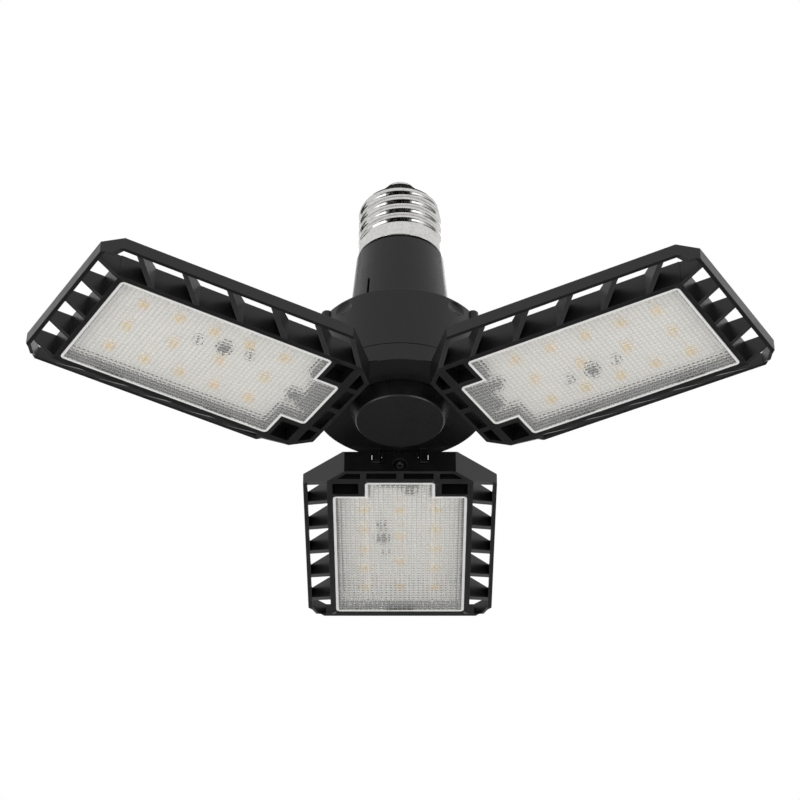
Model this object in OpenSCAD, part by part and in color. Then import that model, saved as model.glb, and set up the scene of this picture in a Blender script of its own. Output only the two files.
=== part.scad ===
// Screw-in ceiling light with three hinged light panels around a drum.
// Z points up and the origin is on the drum's axis, at the lower end of the screw cap's plain skirt.
// The panels lie almost level in the drawing and fold down about pins at their inner ends.

/* [Screw cap] */
// Radius of the plain skirt
shell_r = 13.25; // [13.15:0.05:13.35]
// Height of the plain skirt
skirt_h = 4.2; // [3.8:0.1:4.6]
// Rise of the thread in one turn
thread_pitch = 3.629; // [3.5:0.01:3.7]
// Radius over the thread's crests
thread_crest_r = 13.1; // [12.95:0.05:13.1]
// Depth of the rolled thread
thread_depth = 0.8; // [0.6:0.05:0.85]
// Height of the threaded wall above the skirt
thread_h = 14.4; // [12:0.1:15.5]
// Thickness of the shell's plain wall
shell_wall = 1.3; // [1.2:0.05:1.4]
// Height of the contact's flat top above the origin
cap_h = 29.4; // [27.5:0.1:30.5]
// Radius of the centre contact
contact_r = 4.9; // [4.2:0.1:5.4]

/* [Neck] */
// Radius of the neck at its upper rim
neck_top_r = 13.85; // [13.7:0.05:14.6]
// Radius of the neck where it enters the drum
neck_base_r = 16.3; // [15.4:0.1:17.2]
// Length of the neck
neck_h = 31.1; // [26:0.1:36]
// Wall of the neck
neck_wall = 1.6; // [1.2:0.1:2.0]
// Height of the dark groove under the shell
neck_groove_h = 1.1; // [0.6:0.1:1.6]

/* [Drum] */
// Radius of the drum
drum_r = 25.8; // [25.4:0.1:26.4]
// Height of the drum, its lower band included
drum_h = 26.6; // [25:0.1:32]
// Wall of the drum
drum_wall = 2.0; // [1.6:0.1:2.2]
// Height of the lower band, from the seam to the rim
band_h = 5.9; // [5.2:0.1:6.6]
// Bevel on the drum's edges
edge_bevel = 0.2; // [0.1:0.05:0.6]
// Depth of the round dents under the drum's top edge
dent_depth = 0.75; // [0.4:0.05:0.9]
// Angle between a panel's direction and the dents beside it
dent_angle = 18.4; // [16:0.1:22]
// Radius of the knobs between the dents
knob_r = 1.7; // [1.3:0.1:2.2]

/* [Bottom cap] */
// How far the flat face is set in from the cap's foot
face_inset = 2.2; // [1.8:0.1:3.0]
// How far the flat face lies below the drum's rim
face_drop = 4.5; // [3.6:0.1:5.4]

/* [Panel frame] */
// Width of a panel
panel_w = 60.4; // [59:0.2:64]
// Distance from the light's axis to a panel's outer end
panel_reach = 113; // [111.5:0.5:118]
// Distance from a hinge pin to the panel's inner end
pin_edge = 2.5; // [2.2:0.1:2.7]
// Depth of a panel, from the lens face to its back
panel_t = 7.65; // [7.6:0.05:8.2]
// Angle by which the left panel rises above level
left_rise = 2.4; // [0:0.1:2.4]
// Angle by which the right panel rises above level
right_rise = 0.8; // [0:0.1:2.4]
// Angle by which the rear panel rises above level
rear_rise = 1.3; // [0:0.1:2.4]
// Chamfer at the two inner corners
inner_chamfer = 13; // [12:0.5:14]
// Chamfer at the two outer corners
outer_chamfer = 5.2; // [4:0.2:6]
// Height of the thin rim
rim_h = 3.75; // [3:0.05:4.2]
// Thickness of the thin rim
rim_t = 1.3; // [1.0:0.1:1.6]
// Thickness of the ribs
rib_t = 1.3; // [1.0:0.1:1.6]
// Number of slanted ribs on each long side
side_ribs = 5; // [4:1:6]
// How far a slanted rib runs outward on its way to the rim
rib_lean = 7; // [4:0.5:8]
// Number of ribs at the outer end
end_ribs = 5; // [3:1:6]
// Length of the ribs at the outer end
end_span = 6.45; // [5.5:0.05:8]
// Thickness of the tray's floor
floor_t = 1.5; // [1.3:0.1:1.7]

/* [Lens] */
// Width of the lens
lens_w = 41.74; // [40:0.1:42.5]
// Width of the lens tab
tab_w = 21.7; // [20:0.1:22]
// Length of the lens tab
tab_l = 7.8; // [7.4:0.1:7.9]
// Thickness of the lens
lens_t = 1.6; // [1.4:0.1:1.9]
// Corner radius of the lens
lens_corner = 1.3; // [0.8:0.1:1.8]
// Length of the clips that hold the lens
clip_l = 9; // [7:0.5:10]

/* [Light board] */
// Side of a light chip
chip_w = 3.4; // [2.8:0.1:4.2]
// Height of a light chip
chip_h = 0.8; // [0.6:0.1:1.0]
// Distance from the lens's inner edge to the first chips of the outer rows
chip_start = 11.1; // [10:0.1:12]
// Distance from the lens's inner edge to the first chip of the middle row
mid_start = 11.6; // [10.5:0.1:12.5]
// Distance from the middle row to an outer row
row_gap = 11.4; // [10.5:0.1:12]
// Thickness of the light board
board_t = 1.2; // [1.0:0.1:1.3]
// Thickness of the heat plate under the board
plate_t = 1.0; // [0.8:0.1:1.1]

/* [Hinges] */
// Distance from the drum's wall in to a hinge pin
pin_setback = 3; // [2.8:0.1:3.1]
// Radius of a hinge pin
pin_r = 1.25; // [1.0:0.05:1.3]
// Radius of the hinge knuckles
knuckle_r = 2.2; // [2.1:0.05:2.3]
// Half the length of the block between a hinge's two lugs
knuckle_half = 5.6; // [5.2:0.1:5.8]
// Thickness of a hub lug
lug_t = 2.4; // [2.0:0.1:2.6]
// Thickness of a friction washer
washer_t = 0.5; // [0.4:0.05:0.6]

/* [Driver] */
// Gap between the driver board and the ring round it
driver_gap = 1.1; // [0.6:0.1:1.8]
// Radius of the reservoir capacitor
capacitor_r = 5; // [4:0.1:5.4]
// Height of the reservoir capacitor
capacitor_h = 18; // [12:0.5:20]
// Radius of the insulated leads
lead_r = 0.55; // [0.4:0.05:0.6]

/* [Hidden] */
$fn = 64;
// clearances
fit_gap = 0.05;          // a piece seated in another
run_gap = 0.05;          // a hinge pin in the panel's knuckle
side_gap = 0.1;          // flat faces that slide past each other at a hinge
lens_gap = 0.15;         // round the lens in its seat
seam_gap = 0.3;          // the drum's visible seam
swing_gap = 0.3;         // round a part that swings
skin = 0.01;             // overlap of solids that are joined

// heights along the light's axis
drum_top_z = -neck_h;
rim_z = drum_top_z - drum_h;
seam_z = rim_z + band_h;
base_plate_t = 1.7;
base_top_z = rim_z + base_plate_t;
face_z = rim_z - face_drop;
thread_top_z = skirt_h + thread_h;

// screw cap
thread_root_r = thread_crest_r - thread_depth;
shell_bore_r = shell_r - shell_wall;
insulator_z = thread_top_z + 2;
thread_steps = 48;
steps_per_turn_z = 8;
thread_start = 320;      // turns the thread, so that it starts where the real one does

// the panel's own frame: x runs outward, y across, z up from the lens face
half_w = panel_w / 2;
pin_x = drum_r - pin_setback;
panel_start = pin_x - pin_edge;
rim_front = panel_t - rim_h;
pin_inset = 2.4;         // from a pin's centre to the panel's back
rim_gap = 1.02;          // from the panel's back to the drum's rim, at the pin
pin_h = panel_t - pin_inset;
pin_z = rim_z - rim_gap - pin_inset;
tray_wall = 1.65;        // beside the lens
tray_end_wall = 1.5;     // beyond the lens
tab_x = pin_x + 4;
lens_x = tab_x + tab_l;
tray_end_x = panel_reach - rim_t - end_span;
lens_end_x = tray_end_x - tray_end_wall - lens_gap;
lens_l = lens_end_x - lens_x;
tray_half = lens_w / 2 + lens_gap + tray_wall;
seat_ledge = 1.2;
seat_h = lens_t + fit_gap;
end_wall_t = 1.0;
pocket_x = [panel_start + end_wall_t, pin_x + 1.8];
pocket_edge = tab_w / 2 - 0.4;
shallow_pocket = 2.1;
deep_pocket = 5;
tab_wall = 1.85;
lug_y = knuckle_half + side_gap + washer_t;
slot_half = lug_y + lug_t + 1.5 * side_gap;
slot_end_x = pin_x + knuckle_r + swing_gap;
slot_floor = pin_h - knuckle_r - swing_gap;
end_bevel = 0.5;
end_screw_h = 2.6;
lead_channel_half = 1.7;
channel_floor = pin_h + pin_r + 0.1;
lead_hole_x = [tab_x + 1.1, tab_x + 3.1];
screw_spots = [[lens_x + lens_l * 0.4087, 5.4], [lens_x + 0.4, -3.2]];
rib_x = lens_x + 1.8;
rib_pitch = (lens_end_x - 9.4 - rib_x) / (side_ribs - 1);
end_rib_pitch = (2 * tray_half - 1.74) / (end_ribs - 1);
side_span = half_w - rim_t - tray_half;
clip_spots = [lens_x + 16.8, lens_end_x - 16];
clip_depth = 0.9;

// light board, from the tray's floor towards the lens
plate_z = panel_t - floor_t - plate_t;
board_z = plate_z - board_t;
row_chips = 5;
mid_chips = 4;
chip_x = lens_x + chip_start;
chip_pitch = (lens_end_x - chip_start - 0.4 - chip_x) / (row_chips - 1);
mid_chip_x = lens_x + mid_start;
mid_pitch = (lens_end_x - mid_start - 0.05 - mid_chip_x) / (mid_chips - 1);

// hub
base_ring_r = drum_r - drum_wall - 0.1;
base_ring_t = 1.6;
base_ring_h = 9;
lead_hole_r = 2;
lead_hole_d = panel_start - lead_hole_r - 0.4;
foot_r = lead_hole_d - lead_hole_r - 0.5;
face_r = foot_r - face_inset;
centre_hole_r = foot_r - 4.4;
driver_r = base_ring_r - base_ring_t - driver_gap;
plan = driver_r / 21;    // the board's parts are laid out for a radius of 21
driver_z = base_top_z + 3.4;
driver_t = 1.6;
driver_top = driver_z + driver_t;
post_r = 2.6;
post_d = driver_r - 3.6;
post_angles = [30, 150, 270];
terminal_d = driver_r - 4.5;
terminal_half = 1.6;
lead_notch_d = driver_r - 1.3;

// panels: name, direction, rise
PANELS = [["left", 210, left_rise], ["right", 330, right_rise], ["rear", 90, rear_rise]];

HUB_NODES = ["screw_shell", "cap_insulator", "centre_contact", "neck_sleeve", "drum_housing",
    "hub_base", "bottom_cap", "driver_board", "driver_screws", "reservoir_capacitor", "choke_core",
    "choke_winding", "bridge_rectifier", "film_capacitor", "fuse_resistor", "control_chips",
    "output_terminals", "live_lead", "neutral_lead", "output_leads"];
PANEL_NODES = ["panel_frame", "lens", "light_board", "light_chips", "heat_plate", "board_screws",
    "end_screw", "panel_lead", "hinge_pin", "friction_washers"];

// ---------------------------------------------------------------- helpers

// a disc or tube on the light's axis
module tube(r_out, r_in, z_from, z_to) {
    translate([0, 0, z_from]) difference() {
        cylinder(r = r_out, h = z_to - z_from);
        translate([0, 0, -1]) cylinder(r = r_in, h = z_to - z_from + 2);
    }
}

// rectangle from one corner to the other, with round corners
module round_rect(from, to, r) {
    translate([from[0] + r, from[1]]) square([to[0] - from[0] - 2 * r, to[1] - from[1]]);
    translate([from[0], from[1] + r]) square([to[0] - from[0], to[1] - from[1] - 2 * r]);
    for (x = [from[0] + r, to[0] - r], y = [from[1] + r, to[1] - r]) {
        translate([x, y]) circle(r = r, $fn = 32);
    }
}

// box given by its low and high corners
module box(from, to) {
    translate(from) cube(to - from);
}

// carries a shape from the panel's own frame to its place on the hub
module on_panel(side) {
    rotate([0, 0, side[1]]) translate([pin_x, 0, pin_z]) rotate([0, -side[2], 0])
        translate([-pin_x, 0, -pin_h]) children();
}

// carries a shape to its place beside a hinge, level with the hub
module on_hinge(side) {
    rotate([0, 0, side[1]]) translate([pin_x, 0, pin_z]) children();
}

// cylinder along Y from one y to another
module cross_pin(r, y_from, y_to) {
    translate([0, y_from, 0]) rotate([-90, 0, 0]) cylinder(r = r, h = y_to - y_from);
}

// round lead swept along a list of points that never runs along the given side direction
function unit(v) = v / norm(v);
function lead_dir(p, i) = unit(p[min(i + 1, len(p) - 1)] - p[max(i - 1, 0)]);
module lead(path, side, sides = 8) {
    rings = [for (i = [0 : len(path) - 1])
        let (d = lead_dir(path, i), u = unit(cross(d, side)), v = cross(d, u))
        [for (k = [0 : sides - 1]) let (a = k * 360 / sides) path[i] + lead_r * (cos(a) * u + sin(a) * v)]];
    last = (len(path) - 1) * sides;
    polyhedron(
        points = [for (ring = rings) each ring],
        faces = concat(
            [[for (k = [0 : sides - 1]) k]],
            [for (i = [0 : len(path) - 2], k = [0 : sides - 1]) let (a = i * sides, n = (k + 1) % sides)
                [a + k, a + sides + k, a + sides + n, a + n]],
            [[for (k = [sides - 1 : -1 : 0]) last + k]]));
}

// points of a path whose corners are rounded by quadratic curves
function mix(a, b, t) = a * (1 - t) + b * t;
function bend(a, b, c, t) = mix(mix(a, b, t), mix(b, c, t), t);
function soft(p, n = 4) = concat([p[0]],
    [for (i = [1 : len(p) - 2]) let (a = mix(p[i - 1], p[i], 0.5), c = mix(p[i], p[i + 1], 0.5))
        each [for (k = [0 : n - 1]) bend(a, p[i], c, (k + 0.5) / n)]],
    [p[len(p) - 1]]);

// ---------------------------------------------------------------- screw cap

// radius of the rolled thread at an angle and a height above the skirt, fading out at both ends
function thread_fade(z) = min(1, max(0, (z - 0.3) / 1.6), max(0, (thread_h - 0.6 - z) / 1.6));
function thread_wave(angle, z) = 0.5 + 0.5 * cos(360 * z / thread_pitch - angle + thread_start);
function thread_r(angle, z) = thread_root_r + thread_depth * thread_wave(angle, z) * thread_fade(z);

// threaded wall: a grid of points over the outside, closed by a plain inside
module thread_wall() {
    z_step = thread_pitch / steps_per_turn_z;
    rows = floor(thread_h / z_step) + 1;
    sink = 0.4;
    inner_r = shell_bore_r + 0.15;
    z_at = function(j) j == 0 ? -sink : j == rows + 1 ? thread_h + sink : (j - 1) * thread_h / (rows - 1);
    outer = [for (j = [0 : rows + 1], i = [0 : thread_steps - 1]) let (a = i * 360 / thread_steps,
        r = thread_r(a, min(thread_h, max(0, z_at(j))))) [r * cos(a), r * sin(a), z_at(j)]];
    inner = [for (z = [-sink, thread_h + sink], i = [0 : thread_steps - 1])
        let (a = i * 360 / thread_steps) [inner_r * cos(a), inner_r * sin(a), z]];
    count = thread_steps;
    low = (rows + 2) * count;
    high = low + count;
    top = (rows + 1) * count;
    translate([0, 0, skirt_h]) polyhedron(
        points = concat(outer, inner),
        faces = concat(
            [for (j = [0 : rows], i = [0 : count - 1]) let (n = (i + 1) % count, a = j * count)
                each [[a + i, a + count + i, a + count + n], [a + i, a + count + n, a + n]]],
            [for (i = [0 : count - 1]) let (n = (i + 1) % count)
                each [[low + i, low + n, high + n], [low + i, high + n, high + i]]],
            [for (i = [0 : count - 1]) let (n = (i + 1) % count) [i, n, low + n, low + i]],
            [for (i = [0 : count - 1]) let (n = (i + 1) % count) [top + n, top + i, high + i, high + n]]));
}

module screw_shell() {
    color("silver") {
        tube(shell_r, shell_bore_r, 0, skirt_h);
        thread_wall();
        // rolled shoulder that grips the insulator
        rotate_extrude() polygon([
            [shell_bore_r, thread_top_z - 0.3], [thread_root_r + 0.15, thread_top_z - 0.3],
            [thread_root_r + 0.15, thread_top_z + 0.7], [thread_root_r - 0.9, thread_top_z + 2.1],
            [10.4, thread_top_z + 2.7], [10.3, thread_top_z + 2.1], [shell_bore_r, thread_top_z + 0.8]]);
    }
}

module cap_insulator() {
    color("dimgray") difference() {
        rotate_extrude() polygon([[1.2, insulator_z - 2], [10.2, insulator_z - 2],
            [10.2, insulator_z + 0.9], [contact_r + 0.8, cap_h - 2.6], [1.2, cap_h - 2.6]]);
        translate([0, 0, insulator_z - 3]) cylinder(r = 8, h = 2);
    }
}

module centre_contact() {
    flat_r = contact_r * 0.45;
    color("gainsboro") rotate_extrude() polygon([[0, cap_h - 2.6], [contact_r, cap_h - 2.6],
        [contact_r, cap_h - 1.9], [contact_r * 0.85, cap_h - 1], [contact_r * 0.68, cap_h - 0.35],
        [flat_r, cap_h], [0, cap_h]]);
}

// ---------------------------------------------------------------- neck and drum

module neck_sleeve() {
    spigot_r = shell_bore_r - fit_gap;
    spigot_top = 12;
    flange_r = neck_base_r + 2.4;
    flange_t = 2;
    flange_z = drum_top_z - drum_wall - fit_gap;
    key_angle = 230;
    color("#26272a") difference() {
        rotate_extrude() polygon([
            [spigot_r - 1.6, spigot_top], [spigot_r, spigot_top], [spigot_r, -skin],
            [shell_r - 0.2, -skin], [shell_r - 0.2, -neck_groove_h + 0.3],
            [neck_top_r - 0.3, -neck_groove_h + 0.3], [neck_top_r, -neck_groove_h],
            [neck_base_r, drum_top_z], [neck_base_r, flange_z], [flange_r, flange_z],
            [flange_r, flange_z - flange_t], [neck_base_r - neck_wall, flange_z - flange_t],
            [neck_base_r - neck_wall, drum_top_z], [spigot_r - 1.6, -3]]);
        // key slot on the outside of the neck's lower end
        rotate([0, 0, key_angle]) box([neck_base_r - 1, -0.4, drum_top_z + 0.5],
            [neck_base_r + 1, 0.4, drum_top_z + neck_h * 0.48]);
    }
}

// outer shape of the drum down to the seam, as a half section
module drum_section() {
    bead = 0.3;
    bead_z = seam_z + 4;
    inner_r = drum_r - drum_wall;
    polygon([
        [neck_base_r + fit_gap, drum_top_z], [drum_r - edge_bevel, drum_top_z],
        [drum_r, drum_top_z - edge_bevel], [drum_r, seam_z + seam_gap / 2],
        [inner_r, seam_z + seam_gap / 2], [inner_r, bead_z - 1], [inner_r + bead, bead_z - 0.7],
        [inner_r + bead, bead_z + 0.7], [inner_r, bead_z + 1], [inner_r, drum_top_z - drum_wall],
        [neck_base_r + fit_gap, drum_top_z - drum_wall]]);
}

module drum_housing() {
    dent_sweep = 9.3;
    dent_round = 3.9;
    dent_z = drum_top_z - 2.75;
    knob_d = drum_r - 0.1;
    knob_top = drum_top_z + 0.5;
    knob_h = 3;
    color("#232427") {
        difference() {
            rotate_extrude() drum_section();
            for (side = PANELS, turn = [-dent_angle, dent_angle]) {
                rotate([0, 0, side[1] + turn]) translate([drum_r - dent_depth + dent_sweep, 0, dent_z])
                    rotate_extrude() translate([dent_sweep - dent_round, 0]) circle(r = dent_round);
            }
        }
        for (side = PANELS) {
            rotate([0, 0, side[1]]) translate([knob_d, 0, knob_top]) {
                translate([0, 0, -knob_h]) cylinder(r = knob_r, h = knob_h - 0.4);
                translate([0, 0, -0.4 - skin]) cylinder(r1 = knob_r, r2 = knob_r - 0.4, h = 0.4 + skin);
            }
        }
    }
}

// ---------------------------------------------------------------- hub base and bottom cap

module hinge_lugs() {
    stem_out = 1.1;
    for (y = [lug_y, -lug_y - lug_t]) {
        difference() {
            union() {
                box([-knuckle_r, y, 0], [stem_out, y + lug_t, rim_z - pin_z + 0.5]);
                cross_pin(knuckle_r, y, y + lug_t);
            }
            cross_pin(pin_r + fit_gap, y - 1, y + lug_t + 1);
        }
    }
}

module hub_base() {
    band_r = drum_r + 0.15;
    color("#1d1e20") {
        difference() {
            union() {
                // band, plate and the ring that plugs into the drum
                rotate_extrude() polygon([
                    [centre_hole_r, rim_z], [band_r - edge_bevel, rim_z],
                    [band_r, rim_z + edge_bevel], [band_r, seam_z - seam_gap / 2],
                    [base_ring_r, seam_z - seam_gap / 2], [base_ring_r, base_top_z + base_ring_h],
                    [base_ring_r - base_ring_t, base_top_z + base_ring_h],
                    [base_ring_r - base_ring_t, base_top_z], [centre_hole_r, base_top_z]]);
                for (a = post_angles) {
                    rotate([0, 0, a]) translate([post_d, 0, base_top_z - skin])
                        cylinder(r = post_r, h = driver_z - base_top_z + skin);
                }
            }
            for (a = post_angles) {
                rotate([0, 0, a]) translate([post_d, 0, base_top_z]) cylinder(r = 0.9, h = 10);
            }
            for (side = PANELS) {
                rotate([0, 0, side[1]]) translate([lead_hole_d, 0, rim_z - 1])
                    cylinder(r = lead_hole_r, h = base_plate_t + 2);
            }
        }
        for (side = PANELS) on_hinge(side) hinge_lugs();
    }
}

module bottom_cap() {
    wall = 1.6;
    leg_r = centre_hole_r - 0.15;
    leg_t = 1.2;
    leg_half = 2.5;
    hook_top = base_top_z + 1.6;
    leg_bottom = face_z + wall - 0.5;
    color("#1b1c1e") {
        rotate_extrude() polygon([
            [0, face_z], [face_r, face_z], [face_r + 0.35, face_z + 0.35], [foot_r, rim_z - 0.3],
            [foot_r, rim_z], [foot_r - wall, rim_z], [face_r - wall, face_z + wall],
            [0, face_z + wall]]);
        // snap legs that hook over the base plate
        for (a = post_angles) rotate([0, 0, a]) intersection() {
            rotate_extrude() polygon([[leg_r - leg_t, leg_bottom], [leg_r, leg_bottom],
                [leg_r, base_top_z + 0.1], [leg_r + 0.9, base_top_z + 0.1],
                [leg_r + 0.9, hook_top - 0.6], [leg_r + 0.3, hook_top], [leg_r - leg_t, hook_top]]);
            box([0, -leg_half, leg_bottom - 1], [foot_r, leg_half, hook_top + 1]);
        }
        tube(leg_r - 0.15, leg_r - leg_t - 0.2, face_z + wall - skin, rim_z - 0.9);
    }
}

// ---------------------------------------------------------------- driver

// box on the driver board, given by two corners in plan and its height
module board_box(from, to, h) {
    box([from[0] * plan, from[1] * plan, driver_top], [to[0] * plan, to[1] * plan, driver_top + h]);
}

module driver_board() {
    color("darkgreen") difference() {
        translate([0, 0, driver_z]) cylinder(r = driver_r, h = driver_t);
        for (a = post_angles) {
            rotate([0, 0, a]) translate([post_d, 0, driver_z - 1]) cylinder(r = 1.2, h = driver_t + 2);
        }
        // notches that let the panels' leads down
        for (side = PANELS) {
            rotate([0, 0, side[1]])
                box([lead_notch_d - 1, -1.6, driver_z - 1], [driver_r + 1, 1.6, driver_top + 1]);
        }
    }
}

module driver_screws() {
    color("silver") for (a = post_angles) {
        rotate([0, 0, a]) translate([post_d, 0, 0]) {
            translate([0, 0, driver_top]) cylinder(r = 2, h = 1.2);
            translate([0, 0, base_top_z + 0.6]) cylinder(r = 0.85, h = driver_top - base_top_z);
        }
    }
}

module reservoir_capacitor() {
    color("midnightblue") translate([6.5 * plan, 5.5 * plan, driver_top]) {
        cylinder(r = capacitor_r - 0.3, h = 0.8);
        translate([0, 0, 0.8]) cylinder(r = capacitor_r, h = capacitor_h - 1.4);
        translate([0, 0, capacitor_h - 0.6]) cylinder(r = capacitor_r - 0.3, h = 0.6);
    }
}

choke_place = [-7.6 * plan, 3.2 * plan, 0];
choke_size = [13 * plan, 6 * plan, 11];

module choke_core() {
    plate = 2.6;
    leg = 2.4 * plan;
    size = choke_size;
    color("#3a3a3c") translate(choke_place + [0, 0, driver_top]) {
        box([-size[0] / 2, -size[1] / 2, 0], [size[0] / 2, size[1] / 2, plate]);
        box([-size[0] / 2, -size[1] / 2, size[2] - plate], [size[0] / 2, size[1] / 2, size[2]]);
        for (x = [-size[0] / 2, size[0] / 2 - leg]) {
            box([x, -size[1] / 2, 0], [x + leg, size[1] / 2, size[2]]);
        }
    }
}

module choke_winding() {
    plate = 2.6;
    color("gold") translate(choke_place + [0, 0, driver_top + plate + fit_gap])
        cylinder(r = choke_size[1] * 0.65, h = choke_size[2] - 2 * plate - 2 * fit_gap);
}

module bridge_rectifier() {
    color("#18181a") board_box([5.6, -7.6], [11.2, -3.4], 2.6);
}

module film_capacitor() {
    color("gold") board_box([-4, -10.5], [4.5, -6.5], 7.5);
}

module fuse_resistor() {
    body_r = 1.9;
    color("tan") translate([-17.3 * plan, 0, driver_top + body_r + 0.1])
        cross_pin(body_r, -3.5 * plan, 3.5 * plan);
}

module control_chips() {
    color("#18181a") {
        board_box([-1.5, -4.6], [3.5, -0.6], 1.5);
        board_box([-7.6, 9.6], [-4.1, 12.6], 1.2);
        board_box([14, 0.4], [17, 2.9], 1.1);
    }
}

module output_terminals() {
    color("ivory") for (side = PANELS) {
        rotate([0, 0, side[1]]) translate([terminal_d, 0, driver_top])
            box([-terminal_half, -2.6, 0], [terminal_half, 2.6, 3.2]);
    }
}

// ---------------------------------------------------------------- leads inside the hub

lead_half = 0.75;

module live_lead() {
    r = shell_bore_r;
    foot = [11 * plan, -2.2 * plan];
    path = [[0, 0, cap_h - 2.6], [0, 0, insulator_z - 6], [0.25 * r, -0.25 * r, 0.43 * thread_top_z],
        [0.42 * r, -0.5 * r, -neck_h * 0.32], [0.59 * r, -0.67 * r, -neck_h + 1.1],
        [foot[0], foot[1] - 4.8 * plan, driver_top + 9], [foot[0], foot[1], driver_top + 4],
        [foot[0], foot[1], driver_top]];
    color("firebrick") lead(soft(path), [1, 0, 0]);
}

module neutral_lead() {
    r = shell_bore_r;
    spigot = [r - 2.75, 0];
    foot = [-9.2 * plan, -12 * plan];
    path = [[-spigot[0], 0, 14.5], [-spigot[0], 0, 6], [-0.59 * r, -0.33 * r, -neck_h * 0.26],
        [-0.67 * r, -0.59 * r, -neck_h * 0.9], [foot[0], foot[1] + 2 * plan, driver_top + 10],
        [foot[0], foot[1], driver_top + 4], [foot[0], foot[1], driver_top]];
    color("white") lead(soft(path), [1, 0, 0]);
}

module output_leads() {
    top = driver_top + 2;
    color("firebrick") for (side = PANELS, y = [-lead_half, lead_half]) {
        path = [[terminal_d + terminal_half, y, top], [lead_notch_d, y, top], [lead_notch_d, y, driver_z - 1],
            [lead_hole_d, y, base_top_z + 0.4], [lead_hole_d, y, rim_z + 0.2]];
        rotate([0, 0, side[1]]) lead(soft(path), [0, 1, 0]);
    }
}

// ---------------------------------------------------------------- panel frame

// outline of the frame, drawn in by a given amount
module frame_outline(inset) {
    slip = inset * tan(22.5);
    x0 = panel_start + inset;
    x1 = panel_reach - inset;
    y1 = half_w - inset;
    y0 = half_w - inner_chamfer - slip;
    y2 = half_w - outer_chamfer - slip;
    polygon([[x0, y0], [x0 + y1 - y0, y1], [x1 - (y1 - y2), y1], [x1, y2],
        [x1, -y2], [x1 - (y1 - y2), -y1], [x0 + y1 - y0, -y1], [x0, -y0]]);
}

// outline of the lens, grown by a given amount
module lens_outline(grow) {
    r = max(0.3, lens_corner + grow);
    round_rect([lens_x - grow, -lens_w / 2 - grow], [lens_end_x + grow, lens_w / 2 + grow], r);
    round_rect([tab_x - grow, -tab_w / 2 - grow], [lens_x + 6, tab_w / 2 + grow], r);
}

// spaces at the inner end that are sunk into the front face, as [from, to, depth]
module front_pockets() {
    web = 1.05;
    x0 = pocket_x[0];
    x1 = pocket_x[1];
    tab_edge = tab_w / 2 + lens_gap + tab_wall;
    side_x = [tab_x + 0.4, lens_x - lens_gap - 1.15];
    for (s = [-1, 1]) scale_y(s) {
        box([x0, web, -1], [x1, pocket_edge, shallow_pocket]);
        // corner pocket, cut along the chamfer
        translate([0, 0, -1]) linear_extrude(deep_pocket + 1) intersection() {
            translate([x0, tab_edge - 0.6]) square([x1 - x0, 20]);
            frame_outline(rim_t);
        }
        // pocket beside the lens tab
        box([side_x[0], tab_edge, -1], [side_x[1], tray_half - tray_wall, deep_pocket]);
    }
}

// mirror image across the panel's middle where s is -1
module scale_y(s) {
    mirror([0, s < 0 ? 1 : 0, 0]) children();
}

// slanted ribs beside the tray and straight ribs at its outer end, in plan
module rib_plan() {
    slope = rib_lean / side_span;
    over = 0.4;
    width_x = rib_t * sqrt(1 + slope * slope);
    span = side_span + 2 * over;
    for (s = [-1, 1], k = [0 : side_ribs - 1]) {
        x = rib_x + k * rib_pitch - over * slope;
        mirror([0, s < 0 ? 1 : 0]) polygon([[x, tray_half - over], [x + width_x, tray_half - over],
            [x + width_x + slope * span, tray_half - over + span],
            [x + slope * span, tray_half - over + span]]);
    }
    for (k = [0 : end_ribs - 1]) {
        y = (k - (end_ribs - 1) / 2) * end_rib_pitch;
        translate([tray_end_x - over, y - rib_t / 2]) square([end_span + 2 * over, rib_t]);
    }
}

// the frame's plan: rim, ribs and the block that holds the tray
module frame_plan() {
    difference() {
        frame_outline(0);
        frame_outline(rim_t);
    }
    rib_plan();
    intersection() {
        frame_outline(0);
        translate([0, -tray_half]) square([tray_end_x, 2 * tray_half]);
    }
}

// wedge that bevels the front from the tray's edge over to the rim
module front_wedge(edge, span) {
    polygon([[edge, -1], [edge, 0], [edge + span, rim_front], [edge + span + 20, rim_front],
        [edge + span + 20, -1]]);
}

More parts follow.
